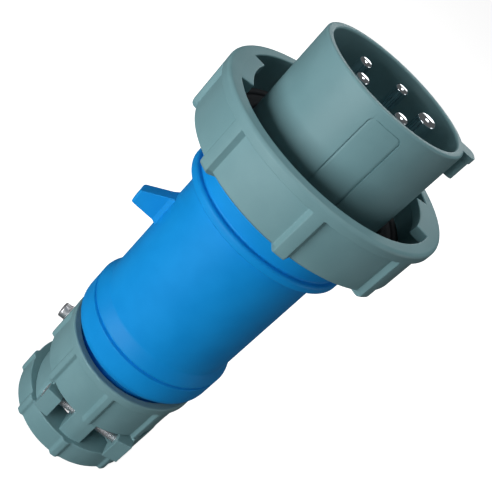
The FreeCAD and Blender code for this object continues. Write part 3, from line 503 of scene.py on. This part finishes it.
def open_roof(piece, half_angle, height, inner, outer):
    """Take away the doubled faces where the ribs run into a band above them."""
    def doubled(face):
        middle = face.calc_center_median()
        level = abs(middle.z - height) < NEAR
        between = inner < middle.xy.length < outer
        return level and between and off_rib(middle) < half_angle
    choose(piece, "faces", doubled)
    bpy.ops.mesh.delete(type="FACE")
    bpy.ops.mesh.select_mode(type="VERT")
    weld()


def narrow_ribs(piece, half_angle, top, reach, face):
    """Draw the ribs' outer corners together up to a height, so that their flanks slant."""
    spread = reach * math.sin(half_angle)
    inmost = reach * math.cos(half_angle) - 0.05 * MM

    def on_crest(edge):
        return all(corner.co.x > inmost and abs(corner.co.y) < spread + NEAR
                   and corner.co.z < top + NEAR for corner in edge.verts)
    for _ in range(RIBS):
        choose(piece, "edges", on_crest)
        bpy.ops.transform.resize(value=(1, face / 2 / spread, 1), center_override=(0, 0, 0))
        leave()
        put(piece, turn=(0, 0, RIB_PITCH))


def finished(piece, slot, body, *nodes):
    """Give a piece its material and body, and let it stand for CAD nodes."""
    piece.data.materials.clear()
    piece.data.materials.append(MATERIALS[slot])
    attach(piece, body)
    if nodes:
        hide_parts(*nodes)
    return piece


# Shroud, pins and face seal

def make_shroud():
    """The carrier with its shroud, floor, flange and skirt."""
    skirt_bore = SKIRT - 2.5 * MM
    shell = turned("carrier_shell", [
        (0, FLOOR_BOTTOM, 0),
        (skirt_bore, FLOOR_BOTTOM, 0),
        (skirt_bore, SKIRT_BOTTOM, 0),
        (SKIRT, SKIRT_BOTTOM, 0),
        (SKIRT, FLANGE_BOTTOM, 0),
        (FLANGE, FLANGE_BOTTOM, 0.3 * MM),
        (FLANGE, FLANGE_TOP, 0.3 * MM),
        (SHROUD, FLANGE_TOP, 0.8 * MM),
        (SHROUD, RIM, 0.8 * MM),
        (SHROUD_BORE, RIM, 0.8 * MM),
        (SHROUD_BORE, FLOOR, 1.5 * MM),
        (0, FLOOR, 0),
    ], SHELL_SIDES)
    shape_with(shell, make_panel(inset=0, depth=0.16 * MM), "DIFFERENCE")
    groove = shape_with(make_panel(inset=0, depth=0.42 * MM),
                        make_panel(inset=0.5 * MM, depth=1 * MM), "DIFFERENCE")
    shape_with(shell, groove, "DIFFERENCE")
    key = soften(make_key(), 0.4 * MM, 4)
    shape_with(shell, key, "UNION")
    return finished(smooth(shell), "grey_plastic", "plug_body", "contact_carrier")


def make_panel(inset, depth):
    """A thin layer of the shroud's near side, with rounded upper corners."""
    half = SHROUD * math.sin(PANEL_HALF_ANGLE) - inset
    top = RIM - 3.1 * MM - inset
    corner = 2.4 * MM - inset
    outline = plate("panel_outline", [
        (-half, FLANGE_TOP + MM, 0), (half, FLANGE_TOP + MM, 0),
        (half, top, corner), (-half, top, corner),
    ], SHROUD - 4 * MM, SHROUD + 2 * MM)
    put(outline, turn=(math.pi / 2, 0, 0))
    layer = turned("panel_layer", box_corners(SHROUD - depth, FLANGE_TOP, SHROUD + MM, RIM),
                   SHELL_SIDES)
    return shape_with(outline, layer, "INTERSECT")


def make_key():
    """The key on the shroud, with a rounded outer end and a wider lip round its top."""
    half = 3.4 * MM
    root = SHROUD - 1.5 * MM
    face = SHROUD + 4.25 * MM
    stem = plate("key_stem", [
        (root, -half, 0), (face, -half, 2.3 * MM), (face, half, 2.3 * MM), (root, half, 0),
    ], RIM - 9.6 * MM, RIM - 1.2 * MM)
    lip_half = half + 0.3 * MM
    lip_face = face + 0.35 * MM
    lip = plate("key_lip", [
        (root, -lip_half, 0), (lip_face, -lip_half, 2.5 * MM), (lip_face, lip_half, 2.5 * MM),
        (root, lip_half, 0),
    ], RIM - 2.4 * MM, RIM - 0.02 * MM)
    return shape_with(stem, lip, "UNION")


def make_pin(node, radius):
    """A turned pin with a rounded tip, a collar and a wire barrel."""
    bottom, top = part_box(node)
    collar_bottom = FLOOR_BOTTOM - 2 * MM
    barrel = 4.6 * MM
    collar = 5.4 * MM
    sleeve = radius + 0.4 * MM
    wire_hole = 2.3 * MM
    pin = turned(node + "_turned", [
        (0, bottom.z + 13 * MM, 0),
        (wire_hole, bottom.z + 12 * MM, 0),
        (wire_hole, bottom.z, 0.2 * MM),
        (barrel, bottom.z, 0.4 * MM),
        (barrel, collar_bottom, 0),
        (collar, collar_bottom, 0.3 * MM),
        (collar, FLOOR_BOTTOM, 0),
        (sleeve, FLOOR_BOTTOM, 0),
        (sleeve, FLOOR, 0.1 * MM),
        (radius, FLOOR, 0),
        (radius, top.z, radius * 0.55),
        (0, top.z, 0),
    ], PIN_SIDES)
    centre = (bottom + top) / 2
    put(smooth(pin), (centre.x, centre.y, 0))
    return finished(pin, "contact_metal", "plug_body", node)


def make_face_seal():
    """A rubber ring with two round lips."""
    bottom = low("face_seal").z
    top = high("face_seal").z
    inner = SHROUD + 0.5 * MM
    outer = high("face_seal").x
    outer_lip = outer - 3 * MM
    inner_lip = (inner + outer) / 2 - 1 * MM
    valley = top - 1.1 * MM
    seal = turned("face_seal_ring", [
        (inner, bottom, 0),
        (outer, bottom, 0.3 * MM),
        (outer, top, 1.2 * MM),
        (outer_lip, top, 1.2 * MM),
        (outer_lip, valley, 0.5 * MM),
        (inner_lip, valley, 0.5 * MM),
        (inner_lip, top, 0.8 * MM),
        (inner + 0.8 * MM, top, 0.8 * MM),
        (inner, valley, 0.4 * MM),
    ])
    return finished(smooth(seal), "black_rubber", "plug_body", "face_seal")


# Coupling ring

def make_ring():
    """The ring with its eight ribs, sunk panels, rear web and two claws."""
    sides = 256
    segment = 2 * math.pi / sides
    half_rib = 3 * segment
    rib_face = 4.1 * MM
    bore = COLLAR + 0.08 * MM
    turn_in = RING_PANEL - 2.8 * MM
    turn_top = RING_BACK + 1.8 * MM
    ring = turned("ring_shell", [
        (bore, WEB_BOTTOM, 0),
        (RING_BORE, WEB_BOTTOM, 0),
        (RING_BORE, RING_BACK, 0),
        (turn_in, RING_BACK, 0),
        (RING_PANEL, turn_top, 0),
        (RING_PANEL, BAND_BOTTOM, 0),
        (RING, BAND_BOTTOM, 0),
        (RING, RING_FRONT, 1.4 * MM),
        (RING_BORE, RING_FRONT, 0.5 * MM),
        (RING_BORE, WEB_TOP, 1.0 * MM),
        (bore, WEB_TOP, 0),
    ], sides)
    raise_ribs(ring, half_rib, RING_BACK, BAND_BOTTOM, RING_PANEL, RING)
    open_roof(ring, half_rib, BAND_BOTTOM, RING_PANEL, RING)
    square_heels(ring, turn_in * RING / RING_PANEL)
    narrow_ribs(ring, half_rib, BAND_BOTTOM, RING, rib_face)
    round_heels(ring)
    soften(ring, 0.4 * MM, 3)
    claws = [make_claw("claw_right", 0), make_claw("claw_left", math.pi)]
    return finished(joined("ring_moulding", ring, *claws), "grey_plastic", "ring",
                    "coupling_ring")


def square_heels(ring, reach):
    """Carry the ribs' lower edges out to their faces."""
    def at_heel(edge):
        return all(abs(corner.co.z - RING_BACK) < NEAR
                   and abs(corner.co.xy.length - reach) < 0.1 * MM for corner in edge.verts)
    choose(ring, "edges", at_heel)
    grow = RING / reach
    bpy.ops.transform.resize(value=(grow, grow, 1), center_override=(0, 0, 0))
    leave()


def round_heels(ring):
    """Round the ribs' lower corners."""
    def at_heel(edge):
        return all(abs(corner.co.z - RING_BACK) < NEAR
                   and corner.co.xy.length > RING - 0.3 * MM for corner in edge.verts)
    choose(ring, "edges", at_heel)
    bpy.ops.mesh.bevel(offset=1.6 * MM, segments=5, affect="EDGES", clamp_overlap=True)
    leave()


def make_claw(name, middle):
    """A bayonet claw on the inside of the ring."""
    width = math.radians(33)
    outline = box_corners(RING_BORE - 4.6 * MM, RING_FRONT - 3.8 * MM,
                          RING_BORE + 1 * MM, RING_FRONT - 0.02 * MM)
    claw = sector(name, outline, middle, width, 24)
    return soften(claw, 0.4 * MM, 3)


# Housing

def make_housing():
    """The blue tube with collar, bead, side fin, rear swelling and threaded neck."""
    shoulder_bottom = WEB_BOTTOM - 2.7 * MM
    shoulder_top = WEB_BOTTOM - 0.3 * MM
    bead_bottom = BEAD_TOP - 3.4 * MM
    crease = SWELL_BOTTOM + 13.5 * MM
    crease_half = 0.5 * MM
    crease_floor = SWELL - 1.2 * MM
    tube_bore = TUBE - 2.5 * MM
    skirt_seat = SKIRT + 0.05 * MM
    throat_top = SWELL_BOTTOM + 2.4 * MM
    core = NECK - 1.1 * MM
    tube = turned("housing_tube", [
        (NECK_BORE, NECK_BOTTOM, 0.3 * MM),
        (core, NECK_BOTTOM, 0.5 * MM),
        (core, SWELL_BOTTOM, 0.4 * MM),
        (SWELL - 3.4 * MM, SWELL_BOTTOM, 0.3 * MM),
        (SWELL, SWELL_BOTTOM + 1.8 * MM, 5.5 * MM),
        (SWELL, crease - crease_half, 0.3 * MM),
        (crease_floor, crease - 0.1 * MM, 0),
        (crease_floor, crease + 0.2 * MM, 0),
        (SWELL + 0.15 * MM, crease + 0.9 * MM, 0.9 * MM),
        (SWELL, SWELL_BOTTOM + 14.9 * MM, 0.7 * MM),
        (TUBE, SWELL_BOTTOM + 20.4 * MM, 4 * MM),
        (TUBE, bead_bottom, 0.5 * MM),
        (BEAD, bead_bottom, 0.6 * MM),
        (BEAD, BEAD_TOP, 1.3 * MM),
        (COLLAR - 1.1 * MM, BEAD_TOP, 0.6 * MM),
        (COLLAR, shoulder_bottom, 0.3 * MM),
        (SHOULDER, shoulder_bottom, 0.4 * MM),
        (SHOULDER, shoulder_top, 0.3 * MM),
        (COLLAR, shoulder_top, 0),
        (COLLAR, FLANGE_BOTTOM, 0.2 * MM),
        (skirt_seat, FLANGE_BOTTOM, 0),
        (skirt_seat, SKIRT_BOTTOM, 0),
        (tube_bore, SKIRT_BOTTOM, 0),
        (tube_bore, throat_top, 0),
        (THROAT, throat_top, 0),
        (THROAT, SWELL_BOTTOM, 0),
        (NECK_BORE, SEAL_SEAT, 0),
    ], SHELL_SIDES)
    parts = [smooth(tube), make_fin(), make_neck_thread(core)]
    return finished(joined("housing_moulding", *parts), "blue_plastic", "plug_body", "housing")


def make_fin():
    """The fin on the tube's side, wedge-shaped with a flared root."""
    bottom = SWELL_BOTTOM + 48.3 * MM
    half = 2.7 * MM
    root = TUBE - 1 * MM
    foot = TUBE + 0.2 * MM
    waist = TUBE + 1.6 * MM
    outside = FIN_TIP + 1 * MM
    flare = 1.0 * MM
    fin = plate("fin", [
        (-root, -half - flare, 0),
        (-foot, -half - flare * 0.5, 0.6 * MM),
        (-waist, -half, 0.8 * MM),
        (-FIN_TIP, -half, 0.9 * MM),
        (-FIN_TIP, half, 0.9 * MM),
        (-waist, half, 0.8 * MM),
        (-foot, half + flare * 0.5, 0.6 * MM),
        (-root, half + flare, 0),
    ], bottom - 2 * MM, bottom + 14 * MM)
    profile = plate("fin_side", [
        (root, bottom - flare, 0),
        (TUBE + 1.2 * MM, bottom, 0.8 * MM),
        (outside, bottom + 0.7 * MM, 0),
        (outside, bottom + 6.0 * MM, 0),
        (TUBE + 1.0 * MM, bottom + 12.0 * MM, 0.8 * MM),
        (root, bottom + 13.2 * MM, 0),
    ], -6 * MM, 6 * MM)
    put(profile, turn=(math.pi / 2, 0, math.pi))
    return soften(shape_with(fin, profile, "INTERSECT"), 0.5 * MM, 3)


def make_thread(name, core, crest, pitch, bottom, top, sides):
    """A thread that winds up a core, made by the Screw modifier, with its root in the core."""
    root = core - 0.3 * MM
    outline = [Vector((root, 0, 0)), Vector((crest, 0, pitch * 0.42)),
               Vector((crest, 0, pitch * 0.58)), Vector((root, 0, pitch * 0.96))]
    piece = begin(name, outline[0] + Vector((0, 0, bottom)))
    draw(outline + outline[:1])
    weld()
    pick(piece)
    wind = piece.modifiers.new("wind", "SCREW")
    wind.screw_offset = pitch
    wind.iterations = int((top - bottom) / pitch) - 1
    wind.steps = sides
    wind.render_steps = sides
    wind.use_merge_vertices = True
    wind.merge_threshold = NEAR
    bpy.ops.object.modifier_apply(modifier=wind.name)
    bpy.ops.object.mode_set(mode="EDIT")
    bpy.ops.mesh.select_all(action="SELECT")
    bpy.ops.mesh.fill_holes(sides=0)
    weld()
    return smooth(piece)


def make_neck_thread(core):
    """The thread the gland nut runs on."""
    pitch = 3 * MM
    return make_thread("neck_thread", core, NECK, pitch, NECK_BOTTOM + 0.4 * MM,
                       SWELL_BOTTOM - 0.2 * MM, sides=96)


# Gland: seal, slip washer, nut, jaws and screws

def make_gland_seal():
    """The rubber cable seal."""
    bottom = low("gland_seal").z
    top = high("gland_seal").z
    outer = high("gland_seal").x
    bore = 8 * MM
    seal = turned("cable_seal", [
        (bore, bottom, 0.8 * MM),
        (outer, bottom, 0.6 * MM),
        (outer, SEAL_SEAT - 0.05 * MM, 0.6 * MM),
        (THROAT - 0.05 * MM, top, 0.3 * MM),
        (bore, top, 0.6 * MM),
    ])
    return finished(smooth(seal), "black_rubber", "plug_body", "gland_seal")


def make_slip_washer():
    """The slip washer between nut and seal."""
    bottom = low("thrust_washer").z
    top = high("thrust_washer").z
    outer = high("thrust_washer").x
    washer = turned("slip_washer_ring", box_corners(WEB_HOLE, bottom, outer, top, 0.3 * MM))
    return finished(smooth(washer), "slip_plastic", "slip_washer", "thrust_washer")


def make_nut():
    """The cage nut: ribbed upper part, two posts and ribbed lower ring."""
    sides = 160
    segment = 2 * math.pi / sides
    half_rib = 2 * segment
    rib_face = 2.6 * MM
    foot = NUT - 1.2 * MM
    web_top = WINDOW_TOP + 3.8 * MM
    mouth = NUT - 3.2 * MM
    mouth_bottom = NUT_TOP - 3.4 * MM
    upper = turned("nut_upper", [
        (WEB_HOLE, WINDOW_TOP, 0),
        (NUT_PANEL, WINDOW_TOP, 0),
        (NUT_PANEL, NUT_BAND_BOTTOM, 0),
        (NUT, NUT_BAND_BOTTOM, 0),
        (NUT, NUT_TOP, 0.8 * MM),
        (mouth, NUT_TOP, 0.5 * MM),
        (mouth, mouth_bottom, 0),
        (NUT_THREAD, mouth_bottom, 0),
        (NUT_THREAD, web_top, 0),
        (WEB_HOLE, web_top, 0),
    ], sides)
    raise_ribs(upper, half_rib, WINDOW_TOP, NUT_BAND_BOTTOM, NUT_PANEL, NUT)
    open_roof(upper, half_rib, NUT_BAND_BOTTOM, NUT_PANEL, NUT)
    narrow_ribs(upper, half_rib, NUT_BAND_BOTTOM, NUT, rib_face)
    lower = turned("nut_lower", box_corners(17 * MM, 0, foot, WINDOW_BOTTOM), sides)
    raise_ribs(lower, half_rib, 0, WINDOW_BOTTOM, foot, NUT)
    narrow_ribs(lower, half_rib, WINDOW_BOTTOM, NUT, rib_face)
    parts = [soften(upper, 0.4 * MM), soften(lower, 0.5 * MM)]
    parts += [make_post("post_far", 1), make_post("post_near", -1)]
    return finished(joined("nut_moulding", *parts), "grey_plastic", "nut", "gland_nut")


def make_post(name, side):
    """One of the posts between the nut's upper part and its lower ring."""
    half = 5 * MM
    inner = POST - 8 * MM
    edge = math.sqrt(POST ** 2 - half ** 2)
    inner_edge = math.sqrt(inner ** 2 - half ** 2)
    bulge = POST ** 2 / edge * side
    post = plate(name, [
        (-half, inner_edge * side, 0), (half, inner_edge * side, 0), (half, edge * side, 0),
        (0, bulge, 12 * MM), (-half, edge * side, 0),
    ], WINDOW_BOTTOM - 0.5 * MM, WINDOW_TOP + 0.5 * MM)
    hole = round_bar(name + "_hole", FREE_HOLE, -2 * half, 2 * half, side)
    return soften(shape_with(post, hole, "DIFFERENCE"), 0.4 * MM)


def lay_across(piece, side):
    """Turn an upright piece along X and move it to the near or far clamp screw."""
    return put(piece, (0, SCREW_SIDE * side, SCREW_HEIGHT), (0, math.pi / 2, 0))


def round_bar(name, radius, start, end, side):
    """A round bar along X at the height of the clamp screws, on the near or far side."""
    outline = [(0, start, 0), (radius, start, 0), (radius, end, 0), (0, end, 0)]
    bar = turned(name, outline, BAR_SIDES)
    return lay_across(bar, side)


def make_jaw(node, name, body, side):
    """A clamp jaw with a curved back, slanted lugs, a nose with a saddle and screw holes."""
    gap = JAW_GAPS[side]
    lug_gap = gap + 1.2 * MM
    shoulder = gap + 8 * MM
    slant = 1.2 * MM
    back = gap + 14.2 * MM
    lug = SCREW_SIDE + 5 * MM
    inner = lug - 9 * MM
    end = lug - 4.6 * MM
    nose = gap - JAW_NOSE
    nose_half = 13 * MM
    saddle_half = 8 * MM
    ledge = gap + 0.3 * MM
    outside = back + 1 * MM
    bottom = WINDOW_BOTTOM + 0.3 * MM
    top = WINDOW_TOP - 0.3 * MM
    hidden = shoulder - 0.7 * MM
    bow = arc_through((hidden, -end), (back, 0), (hidden, end), 14)
    saddle = arc_through((nose, saddle_half), (nose + 3.2 * MM, 0), (nose, -saddle_half), 10)
    outline = bow + [(ledge, inner), (nose, nose_half)] + saddle
    outline += [(nose, -nose_half), (ledge, -inner)]
    jaw = plate(name, [(x * side, y, 0) for x, y in outline], bottom, top)
    for number in (-1, 1):
        block = plate(name + "_lug", [
            (lug_gap * side, inner * number, 0), (lug_gap * side, lug * number, 0),
            (shoulder * side, (lug - slant) * number, 0), (shoulder * side, inner * number, 0),
        ], WINDOW_BOTTOM + 1.7 * MM, WINDOW_TOP - 1.1 * MM)
        shape_with(jaw, block, "UNION")
    soften(jaw, 0.38 * MM, 3, 40, clamp=False)
    seat = gap + 4.2 * MM
    for number in (-1, 1):
        low_x, high_x = sorted((nose * side, outside * side))
        hole = round_bar("screw_hole", FREE_HOLE, low_x, high_x, number)
        shape_with(jaw, hole, "DIFFERENCE")
        if side < 0:
            recess = round_bar("head_recess", 3.7 * MM, -outside, -seat, number)
        else:
            recess = hexagon_bar("nut_pocket", 3.6 * MM, seat, outside, number)
        shape_with(jaw, recess, "DIFFERENCE")
    return finished(smooth(jaw), "grey_plastic", body, node)


def arc_through(start, middle, end, steps):
    """Points along the arc through three points that lie evenly about the X axis."""
    reach = Vector(end) - Vector(start)
    rise = Vector(middle) - (Vector(start) + Vector(end)) / 2
    radius = (reach.length ** 2 / 4 + rise.length ** 2) / (2 * rise.length)
    centre = Vector(middle) - rise.normalized() * radius
    first = Vector(start) - centre
    turn = first.angle_signed(Vector(end) - centre)
    points = []
    for step in range(steps + 1):
        spoke = Matrix.Rotation(-turn * step / steps, 2) @ first
        points.append(tuple(centre + spoke))
    return points


def hexagon_bar(name, flat, start, end, side):
    """A hexagonal bar along X at a clamp screw, with corners at top and bottom."""
    reach = flat / math.cos(math.pi / 6)
    corners = [(reach * math.cos(math.pi / 3 * step), reach * math.sin(math.pi / 3 * step), 0)
               for step in range(6)]
    bar = plate(name, corners, start, end)
    return lay_across(bar, side)


def make_clamp_nut(node, side):
    """A hexagon nut with bevelled corners and a plain round hole."""
    start = low(node).x
    end = high(node).x
    spare = 0.2 * MM
    nut = hexagon_bar(node + "_hexagon", 3.5 * MM, start - spare, end + spare, side)
    corner = 4.1 * MM
    face = 3.45 * MM
    chamfer = 0.4 * MM
    cone = turned("nut_cone", [
        (0, start, 0), (face, start, 0), (corner, start + chamfer, 0),
        (corner, end - chamfer, 0), (face, end, 0), (0, end, 0)], BAR_SIDES)
    lay_across(cone, side)
    shape_with(nut, cone, "INTERSECT")
    hole = round_bar("nut_hole", CLOSE_HOLE, start - MM, end + MM, side)
    shape_with(nut, hole, "DIFFERENCE")
    return finished(soften(nut, 0.1 * MM, 2), "bright_steel", "right_jaw", node)


def make_clamp_washer(node, side, body):
    """The captive washer under a screw's head."""
    reach = high(node).z - SCREW_HEIGHT
    outline = box_corners(CLOSE_HOLE, low(node).x, reach, high(node).x, 0.12 * MM)
    washer = turned(node + "_disc", outline, BAR_SIDES)
    lay_across(washer, side)
    return finished(smooth(washer), "bright_steel", body, node)


def make_clamp_screw(node, side, body):
    """A pan head screw with a cross recess and a fine thread, along X."""
    start = low(node).x
    under_head = start + 3.1 * MM
    end = high(node).x
    core = 1.75 * MM
    pitch = 0.7 * MM
    reach = high(node).z - SCREW_HEIGHT
    head = turned(node + "_head", [
        (0, start, 0),
        (2.2 * MM, start + 0.02 * MM, 0),
        (reach, start + 0.2 * MM, 0.8 * MM),
        (reach, under_head, 0.25 * MM),
        (SCREW_CREST, under_head, 0),
        (SCREW_CREST, under_head + 2 * MM, 0.2 * MM),
        (core, under_head + 2.4 * MM, 0),
        (core, end, 0.5 * MM),
        (0, end, 0),
    ], BAR_SIDES)
    cross = shape_with(cross_arm("cross_arm_a", start, 0), cross_arm("cross_arm_b", start, 1),
                       "UNION")
    shape_with(head, cross, "DIFFERENCE")
    smooth(head)
    thread = make_thread(node + "_thread", core, SCREW_CREST, pitch, under_head + 2.2 * MM,
                         end - 0.6 * MM, sides=28)
    screw = joined(node + "_turned", head, thread)
    lay_across(screw, side)
    return finished(screw, "bright_steel", body, node)


def cross_arm(name, start, quarter):
    """One arm of the cross recess, narrower at its depth."""
    wide = 2.3 * MM
    narrow = 0.9 * MM
    half = 0.42 * MM
    outside = start - 0.2 * MM
    deep = start + 1.9 * MM
    arm = plate(name, [
        (-wide, outside, 0), (wide, outside, 0), (narrow, deep, 0), (-narrow, deep, 0),
    ], -half, half)
    put(arm, turn=(math.pi / 2, 0, 0))
    return put(arm, turn=(0, 0, math.pi / 2 * quarter))


# The whole plug

def dress_frame():
    """Give every CAD node the material of its slot."""
    for entry in frame["record"]["subparts"]:
        node = frame["nodes"][entry["node"]]
        for holder in node.material_slots:
            holder.material = MATERIALS[entry["material_slot"]]
        if not node.material_slots:
            node.data.materials.append(MATERIALS[entry["material_slot"]])


dress_frame()
make_shroud()
for pole in ("l1", "l2", "l3", "neutral"):
    make_pin("pin_" + pole, 2.5 * MM)
make_pin("pin_earth", 3.5 * MM)
make_face_seal()
make_ring()
make_housing()
make_gland_seal()
make_slip_washer()
make_nut()
make_jaw("clamp_jaw_left", "left_jaw_moulding", "left_jaw", -1)
make_jaw("clamp_jaw_right", "right_jaw_moulding", "right_jaw", 1)
for place, side, washer_body in (("near", -1, "left_jaw"), ("far", 1, "far_washer")):
    make_clamp_nut("clamp_nut_" + place, side)
    make_clamp_washer("clamp_washer_" + place, side, washer_body)
    make_clamp_screw("clamp_screw_" + place, side, place + "_screw")


# Floor, light and camera

MIDDLE = Vector((0, 0, RIM * 0.58))
EYE = Vector((-51.2, -229.4, 246.2)) * MM
TARGET = Vector((1.64, -0.38, 113.3)) * MM
EYE_ROLL = math.radians(45.29)
EYE_LENS = 55.83


def pale_floor():
    """A white floor that keeps a soft shadow and never shows an edge."""
    bpy.ops.object.select_all(action="DESELECT")
    bpy.ops.mesh.primitive_plane_add(size=30, location=(0, 0, 0))
    floor = bpy.context.active_object
    floor.name = "floor"
    paint = Paint(bpy.data.materials.new("floor"))
    lit = paint.node("ShaderNodeBsdfDiffuse", None, {"Color": grey(0.8)})
    dim = paint.node("ShaderNodeBsdfDiffuse", None, {"Color": grey(0.12)})
    white = paint.node("ShaderNodeEmission", None, {"Color": grey(1), "Strength": 0.86})
    both = paint.node("ShaderNodeAddShader", None, {0: lit, 1: white})
    rays = paint.node("ShaderNodeLightPath", output="Is Camera Ray")
    paint.surface(paint.node("ShaderNodeMixShader", None, {0: rays, 1: dim, 2: both}))
    floor.data.materials.append(paint.owner)


def studio_world():
    """White where the camera looks past the floor, grey as a light."""
    world = bpy.data.worlds.new("studio")
    bpy.context.scene.world = world
    paint = Paint(world, "ShaderNodeOutputWorld")
    soft = paint.node("ShaderNodeBackground", None, {"Color": grey(1), "Strength": 0.1})
    white = paint.node("ShaderNodeBackground", None, {"Color": grey(1), "Strength": 1.0})
    rays = paint.node("ShaderNodeLightPath", output="Is Camera Ray")
    paint.surface(paint.node("ShaderNodeMixShader", None, {0: rays, 1: soft, 2: white}))


def softbox(name, azimuth, elevation, distance, width, height, power):
    """A flat lamp that looks at the plug's middle, from two angles in degrees."""
    around = math.radians(azimuth)
    up = math.radians(elevation)
    way = Vector((math.cos(around) * math.cos(up), math.sin(around) * math.cos(up), math.sin(up)))
    lamp = bpy.data.lights.new(name, "AREA")
    lamp.shape = "RECTANGLE"
    lamp.size = width
    lamp.size_y = height
    lamp.energy = power
    holder = bpy.data.objects.new(name, lamp)
    bpy.context.scene.collection.objects.link(holder)
    holder.location = MIDDLE + way * distance
    holder.rotation_euler = (-way).to_track_quat("-Z", "Y").to_euler()


def photograph_view():
    """The camera, rolled so that the plug lies across the picture."""
    camera = bpy.data.cameras.new("view")
    camera.lens = EYE_LENS
    camera.sensor_width = 36
    camera.clip_start = 0.005
    holder = bpy.data.objects.new("view", camera)
    bpy.context.scene.collection.objects.link(holder)
    level = (TARGET - EYE).to_track_quat("-Z", "Y").to_matrix().to_4x4()
    holder.matrix_world = Matrix.Translation(EYE) @ level @ Matrix.Rotation(EYE_ROLL, 4, "Z")
    bpy.context.scene.camera = holder


pale_floor()
studio_world()
softbox("key", azimuth=-132, elevation=2, distance=0.45, width=0.36, height=0.24, power=1.82)
softbox("top", azimuth=80, elevation=86, distance=1.2, width=0.35, height=0.35, power=5.4)
softbox("glint", azimuth=77, elevation=19, distance=0.82, width=0.3, height=0.2, power=0.55)
softbox("fill", azimuth=-5, elevation=8, distance=0.8, width=0.4, height=0.4, power=0.9)
photograph_view()
bpy.context.scene.view_settings.view_transform = "Standard"
